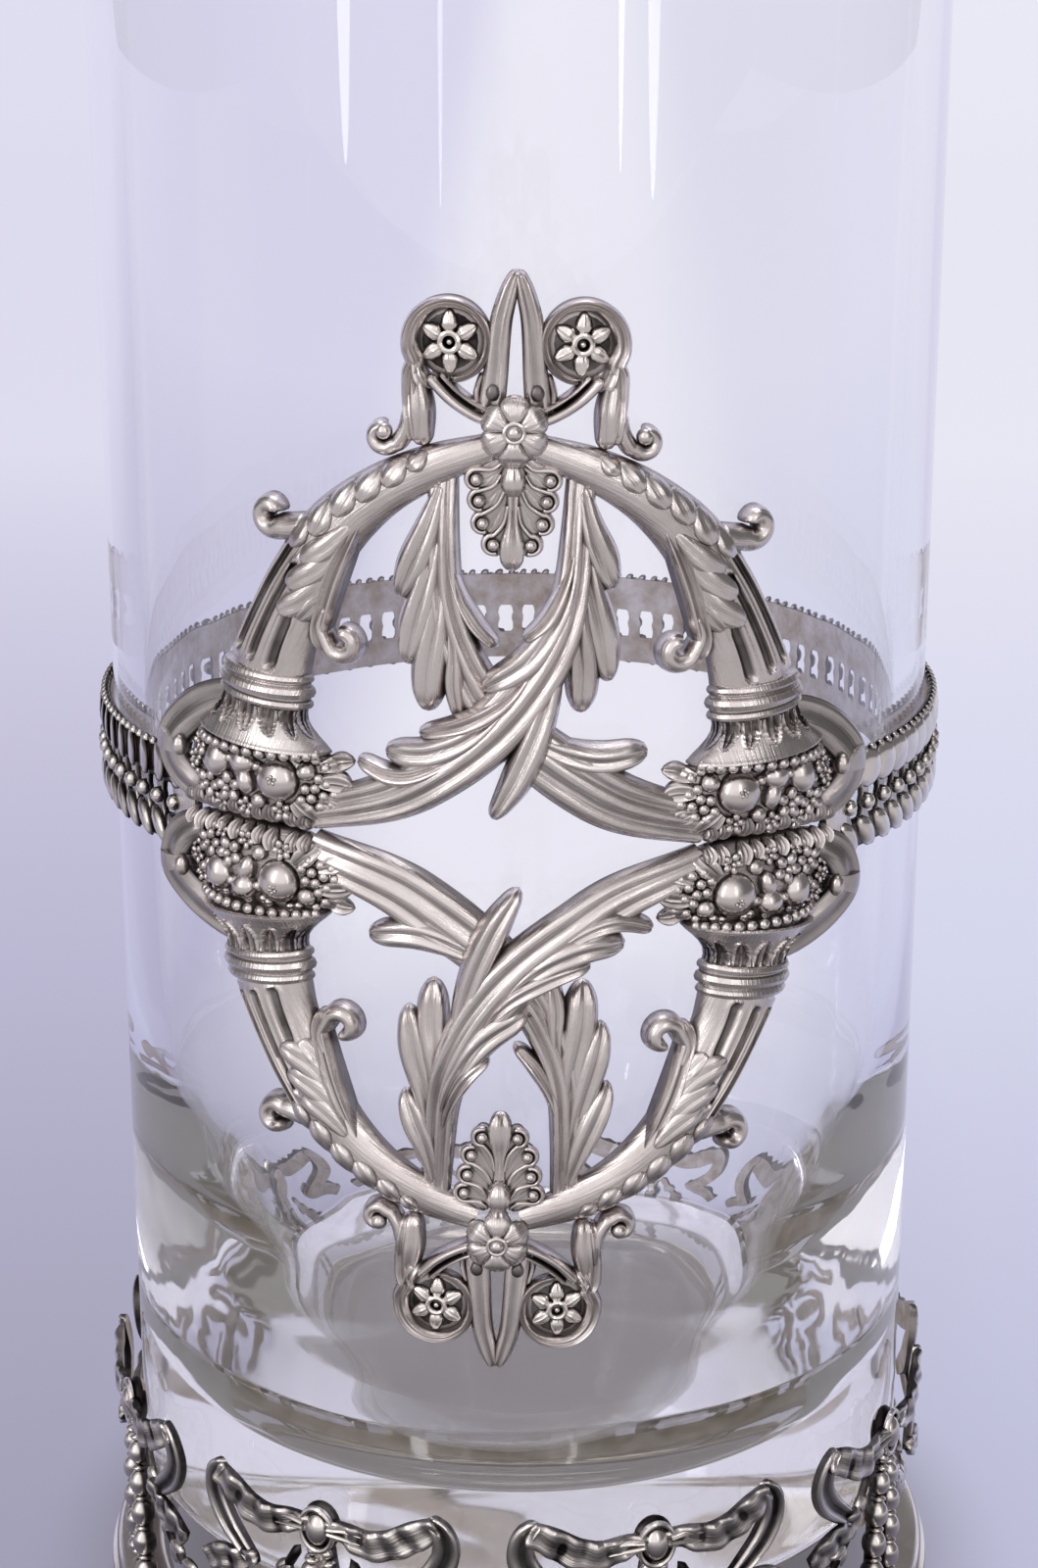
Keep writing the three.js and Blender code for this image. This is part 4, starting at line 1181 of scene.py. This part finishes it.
def make_swag(index):
    stand = settings().stand
    span = 2 * math.pi / stand.count * stand.datum * 1000
    droop = stand.droop * 1000
    bm = bmesh.new()
    path = [
        (4.2, -4.8), (span * 0.17, -droop * 0.55), (span * 0.32, -droop * 0.88), (span / 2, -droop),
        (span * 0.68, -droop * 0.88), (span * 0.83, -droop * 0.55), (span - 4.2, -4.8),
    ]
    # The string under the husks is painted dark: painted shade and tarnish
    bar(bm, path, 0.8, 1, base=0.3, across=8, steps=48, tips=(0.6, 0.6), dark=0.8)
    point, heading, _share, _run = trace(path, 200)
    # Husks that open towards the middle of the swag
    for k in range(6):
        for end in (0, 1):
            i = 14 + 15 * k if end == 0 else 186 - 15 * k
            way = 1 if end == 0 else -1
            ahead = heading[i] * way
            swing = math.degrees(math.atan2(ahead[1], ahead[0]))
            grow = 0.75 + 0.07 * k
            for spread in (-24, 0, 24):
                a = math.radians(swing + spread)
                out = Vector((math.cos(a), math.sin(a)))
                start = Vector(point[i])
                leaf = [start, start + out * 2 * grow, start + out * 4.2 * grow]
                bar(
                    bm, leaf, [0.5 * grow, 1.05 * grow, 0.6 * grow], [0.8, 1.15, 0.7], base=0.35,
                    form=husk, across=8, steps=8, tips=(0.3, 0.7), wall=0.2,
                )
    knob(bm, (*point[100], 0.9), (1.9, 1.6, 0.9), sides=14, rings=9)
    add_frieze(bm, "husk_swag", "stand_swag", index)


def make_seat():
    stand = settings().stand
    top = SEAT_BOX[1].z * 1000
    outer = settings().glass.radius * 1000 - 2.6
    inner = outer - 7
    bm = bmesh.new()
    sheet_layers(bm)
    spun(bm, [
        (inner, top - 1.5), (inner + 0.3, top - 1.8), (outer - 0.3, top - 1.8), (outer, top - 1.5),
        (outer, top - 0.3), (outer - 0.3, top), (inner + 0.3, top), (inner, top - 0.3),
    ])
    reach = stand.radius * 1000 - (inner + outer) / 2
    for i in range(stand.count):
        matrix = (
            Matrix.Rotation(stand_turn(i), 4, "Z")
            @ Matrix.Translation((0, reach / 2 - stand.radius * 1000, top - 0.9))
            @ Matrix.Diagonal((9, reach, 1.44, 1))
        )
        lug = bmesh.ops.create_cube(bm, size=1, matrix=matrix)["verts"]
        edges = list({edge for vert in lug for edge in vert.link_edges})
        bmesh.ops.bevel(
            bm, geom=edges, offset=0.3, offset_type="OFFSET", affect="EDGES", segments=2, profile=0.5,
            material=-1,
        )
    bmesh.ops.scale(bm, vec=(0.001, 0.001, 0.001), verts=bm.verts)
    dull = finish_of("dull_casting_back")
    add_piece(bm, "seat_for_glass", "stand", "stand_seat_ring", "plain_silver", dull)


def make_foot():
    outer = FOOT_BOX[1].x * 1000
    top = FOOT_BOX[1].z * 1000
    inner = outer - 9
    bm = bmesh.new()
    layers = sheet_layers(bm)
    spun(bm, [
        (inner, 0.3), (inner + 0.3, 0), (outer - 0.6, 0), (outer - 0.1, 0.5), (outer - 0.02, 1.3),
        (outer - 0.1, 2.1), (outer - 0.7, 2.6), (outer - 1.1, 2.8), (outer - 1.1, 3.1),
        (outer - 0.9, 3.4), (outer - 0.8, 3.9), (outer - 1, 4.4), (outer - 1.4, 4.7),
        (outer - 1.5, top - 0.2), (outer - 1.8, top), (inner + 1.6, top), (inner + 0.5, top - 0.9),
        (inner, top - 2),
    ], steps=176)
    # Painted shade and tarnish in the groove of the moulding
    for vert in bm.verts:
        near = abs(vert.co.z - 2.95) < 0.3 and vert.co.xy.length > outer - 1.3
        vert[layers[0]] = 0.9 if near else 0.0
    bmesh.ops.scale(bm, vec=(0.001, 0.001, 0.001), verts=bm.verts)
    rubbed = finish_of("oxidised_silver_plate")
    add_piece(bm, "moulded_foot", "stand", "stand_foot_ring", "plain_silver", rubbed)


# Set: floor that sweeps up to a backdrop, lamps and camera

# Metres: half the paper's width, where it starts and how long it is, where it bends up and how
PAPER_HALF, PAPER_START, PAPER_RUN = 3, -1.6, 5.2
BEND_START, BEND_RUN, BEND_RADIUS = 2.2, 0.9, 0.573
AIM = Vector((0, 0, 0.14))
# Brightest way in the room, and the camera's place and tilt
BRIGHT_WAY = Vector((-0.25, -0.9, 0.36)).normalized()
CAMERA_AROUND, CAMERA_AWAY, CAMERA_HEIGHT, CAMERA_TILT = math.radians(1.6), 0.4303, 0.265, 17.58


def floor_paper():
    """Matt pale paper, lilac in this light, with light and shade painted into its colour. What the
    camera, the metal and the glass see of it is mostly this painted colour as a glow, and the rest of it
    keeps the object's shadow."""
    finish = settings().finish
    material, tree, where = new_material("matt_paper")
    part = add(tree, "ShaderNodeSeparateXYZ", {0: where}).outputs
    path = add(tree, "ShaderNodeLightPath").outputs
    through_glass = path["Is Transmission Ray"]
    # Painted light and shade: the paper is darker close to the object and on the left, and lighter
    # towards the back, up the backdrop and on the right
    depth = ranged(tree, part["Y"], -0.05, 0.9)
    ramps = []
    for near, middle, far in (
        (finish.left_near, finish.left_middle, finish.left_far),
        (finish.right_near, finish.right_middle, finish.right_far),
    ):
        ramp = add(tree, "ShaderNodeValToRGB", {0: depth})
        stops = ramp.color_ramp.elements
        stops[0].color = (*near, 1)
        stops[1].color = (*far, 1)
        stops.new(0.32).color = (*middle, 1)
        ramps.append(ramp.outputs[0])
    tone = mixed(tree, ranged(tree, part["X"], -0.08, 0.09), *ramps)
    # Light thrown on the floor behind the glass, where only the glass shows it
    aside = sums(tree, "ABSOLUTE", part["X"])
    middle = ranged(tree, aside, 0.04, 0.12, 1.0, 0.0, interpolation_type="SMOOTHSTEP")
    thrown = sums(tree, "MULTIPLY", middle, ranged(tree, part["Y"], 0.06, 0.26))
    tone = mixed(tree, sums(tree, "MULTIPLY", thrown, through_glass), tone, finish.thrown)
    # Shade under the foot
    flat = add(tree, "ShaderNodeVectorMath", {0: where, 1: (1.0, 1.0, 0.0)}, operation="MULTIPLY")
    away = far_from(tree, flat.outputs[0])
    under = ranged(tree, away, 0.045, 0.082, 1.0, 0.0, interpolation_type="SMOOTHSTEP")
    tone = mixed(tree, under, tone, finish.shade)
    # Painted reflection: the floor in front, as the metal mirrors it, is painted dark close to the
    # object, as if in its shadow, and light further off
    direct = sums(tree, "SUBTRACT", 1.0, through_glass)
    mirrored_ray = sums(tree, "MULTIPLY", path["Is Glossy Ray"], direct)
    in_front = sums(tree, "MULTIPLY", mirrored_ray, ranged(tree, part["Y"], 0.04, -0.06))
    mirror = mixed(tree, ranged(tree, away, 0.075, 0.26), finish.gloom, finish.room)
    tone = mixed(tree, in_front, tone, mirror)
    seen = sums(tree, "MAXIMUM", path["Is Camera Ray"], path["Is Glossy Ray"])
    seen = sums(tree, "MAXIMUM", seen, through_glass)
    paper = add(tree, "ShaderNodeBsdfDiffuse", {"Color": tone})
    glow = add(tree, "ShaderNodeEmission", {"Color": tone, "Strength": 1.0})
    blended(tree, sums(tree, "MULTIPLY", seen, GLOW_SHARE), paper, glow)
    return material


def make_floor():
    bm = bmesh.new()
    made = bmesh.ops.create_grid(bm, x_segments=2, y_segments=80, size=1)["verts"]
    for vert in made:
        run = PAPER_START + (vert.co.y + 1) / 2 * PAPER_RUN
        bend = min(max((run - BEND_START) / BEND_RUN, 0), 1) * math.pi / 2
        y = min(run, BEND_START) + BEND_RADIUS * math.sin(bend)
        z = BEND_RADIUS * (1 - math.cos(bend)) + max(run - BEND_START - BEND_RUN, 0)
        vert.co = (vert.co.x * PAPER_HALF, y, z)
    mesh = bpy.data.meshes.new("paper_sweep")
    bm.to_mesh(mesh)
    bm.free()
    mesh.shade_smooth()
    mesh.materials.append(floor_paper())
    floor = bpy.data.objects.new("paper_sweep", mesh)
    bpy.context.scene.collection.objects.link(floor)


def make_lamp(name, place, size, power, tint):
    lamp = bpy.data.lights.new(name, "AREA")
    lamp.shape = "ELLIPSE"
    lamp.size, lamp.size_y = size
    lamp.energy = power
    lamp.color = linear(tint)
    holder = bpy.data.objects.new(name, lamp)
    holder.location = place
    holder.rotation_euler = (AIM - Vector(place)).to_track_quat("-Z", "Y").to_euler()
    bpy.context.scene.collection.objects.link(holder)


def make_room():
    """The room's light: a bright half behind the camera and dim sides. The camera and the glass see
    the paper's colour in it instead."""
    world = bpy.data.worlds.new("studio_room")
    world.use_nodes = True
    tree = world.node_tree
    tree.nodes.clear()
    way = add(tree, "ShaderNodeTexCoord").outputs["Generated"]
    toward = add(tree, "ShaderNodeVectorMath", {0: way, 1: BRIGHT_WAY}, operation="DOT_PRODUCT")
    glow = ranged(tree, toward.outputs["Value"], 0.25, 0.95, 0.2, 1.25, interpolation_type="SMOOTHSTEP")
    room = add(tree, "ShaderNodeBackground", {"Color": (*linear("#f6f3f4"), 1), "Strength": glow})
    pale = (*settings().finish.left_far, 1)
    paper = add(tree, "ShaderNodeBackground", {"Color": pale, "Strength": 1.0})
    path = add(tree, "ShaderNodeLightPath").outputs
    seen = sums(tree, "MAXIMUM", path["Is Camera Ray"], path["Is Transmission Ray"])
    blended(tree, seen, room, paper, "ShaderNodeOutputWorld")
    bpy.context.scene.world = world


def make_stage():
    make_floor()
    make_lamp("key_softbox", (-0.74, -0.82, 0.64), (0.14, 1.2), 2.2, "#ffffff")
    make_lamp("fill_softbox", (0.5, -0.98, 0.6), (0.06, 1.1), 0.8, "#fdfaf6")
    make_lamp("top_softbox", (0.1, 0.25, 1.35), (0.9, 0.7), 4, "#ffffff")
    make_room()
    scene = bpy.context.scene
    camera = bpy.data.cameras.new("photo_camera")
    camera.lens = 68.6
    camera.sensor_width = 36
    viewer = bpy.data.objects.new("photo_camera", camera)
    viewer.location = (
        CAMERA_AWAY * math.sin(CAMERA_AROUND), -CAMERA_AWAY * math.cos(CAMERA_AROUND), CAMERA_HEIGHT
    )
    viewer.rotation_euler = (math.radians(90 - CAMERA_TILT), 0, CAMERA_AROUND)
    scene.collection.objects.link(viewer)
    scene.camera = viewer
    scene.view_settings.view_transform = "Standard"


# Operators, panel and run


class GLASSHOLDER_OT_stage(bpy.types.Operator):
    """Build the floor, the lamps and the camera"""

    bl_idname = "glass_holder.stage"
    bl_label = "Stage"

    def execute(self, context):
        make_stage()
        return {"FINISHED"}


class GLASSHOLDER_OT_glass(bpy.types.Operator):
    """Build the blown glass"""

    bl_idname = "glass_holder.glass"
    bl_label = "Glass"

    def execute(self, context):
        make_glass()
        return {"FINISHED"}


class GLASSHOLDER_OT_belt(bpy.types.Operator):
    """Build the pierced belt round the glass"""

    bl_idname = "glass_holder.belt"
    bl_label = "Belt"

    def execute(self, context):
        make_belt()
        return {"FINISHED"}


class GLASSHOLDER_OT_horns(bpy.types.Operator):
    """Build the four horns of plenty with their bells, fruit and straps"""

    bl_idname = "glass_holder.horns"
    bl_label = "Horns of plenty"

    def execute(self, context):
        for quarter in quarters():
            make_horn(*quarter)
            make_bell(*quarter)
            make_fruit(*quarter)
            make_strap(*quarter)
        return {"FINISHED"}


class GLASSHOLDER_OT_leaves(bpy.types.Operator):
    """Build the two pairs of crossing acanthus leaves"""

    bl_idname = "glass_holder.leaves"
    bl_label = "Acanthus leaves"

    def execute(self, context):
        for half, turn in HALVES.items():
            make_leaf(half, turn, over=True)
            make_leaf(half, turn, over=False)
        return {"FINISHED"}


class GLASSHOLDER_OT_crests(bpy.types.Operator):
    """Build the two crests with their volutes, flowers and fans"""

    bl_idname = "glass_holder.crests"
    bl_label = "Crests"

    def execute(self, context):
        for half, turn in HALVES.items():
            make_crest(half, turn)
            make_flower(half, turn)
            make_palmette(half, turn)
        for quarter in quarters():
            make_rosette(*quarter)
        return {"FINISHED"}


class GLASSHOLDER_OT_bows(bpy.types.Operator):
    """Build the ring of ribbon bows and husk swags"""

    bl_idname = "glass_holder.bows"
    bl_label = "Bows and swags"

    def execute(self, context):
        for index in range(settings().stand.count):
            make_bow(index)
            make_swag(index)
        return {"FINISHED"}


class GLASSHOLDER_OT_rings(bpy.types.Operator):
    """Build the seat ring and the foot ring"""

    bl_idname = "glass_holder.rings"
    bl_label = "Seat and foot"

    def execute(self, context):
        make_seat()
        make_foot()
        return {"FINISHED"}


STEPS = ("stage", "glass", "belt", "horns", "leaves", "crests", "bows", "rings")


class GLASSHOLDER_PT_panel(bpy.types.Panel):
    """Steps that build the object"""

    bl_idname = "GLASSHOLDER_PT_panel"
    bl_label = "Glass holder"
    bl_space_type = "VIEW_3D"
    bl_region_type = "UI"
    bl_category = "Glass holder"

    def draw(self, context):
        for step in STEPS:
            self.layout.operator(f"glass_holder.{step}")


CLASSES = (
    GlassSettings, MountSettings, StandSettings, FinishSettings, HolderSettings, GLASSHOLDER_OT_stage,
    GLASSHOLDER_OT_glass, GLASSHOLDER_OT_belt, GLASSHOLDER_OT_horns, GLASSHOLDER_OT_leaves,
    GLASSHOLDER_OT_crests, GLASSHOLDER_OT_bows, GLASSHOLDER_OT_rings, GLASSHOLDER_PT_panel,
)


def register():
    for cls in CLASSES:
        bpy.utils.register_class(cls)
    bpy.types.Scene.glass_holder = bpy.props.PointerProperty(type=HolderSettings)


def unregister():
    del bpy.types.Scene.glass_holder
    for cls in reversed(CLASSES):
        bpy.utils.unregister_class(cls)


def main():
    register()
    for step in STEPS:
        getattr(bpy.ops.glass_holder, step)()


if __name__ == "__main__":
    main()
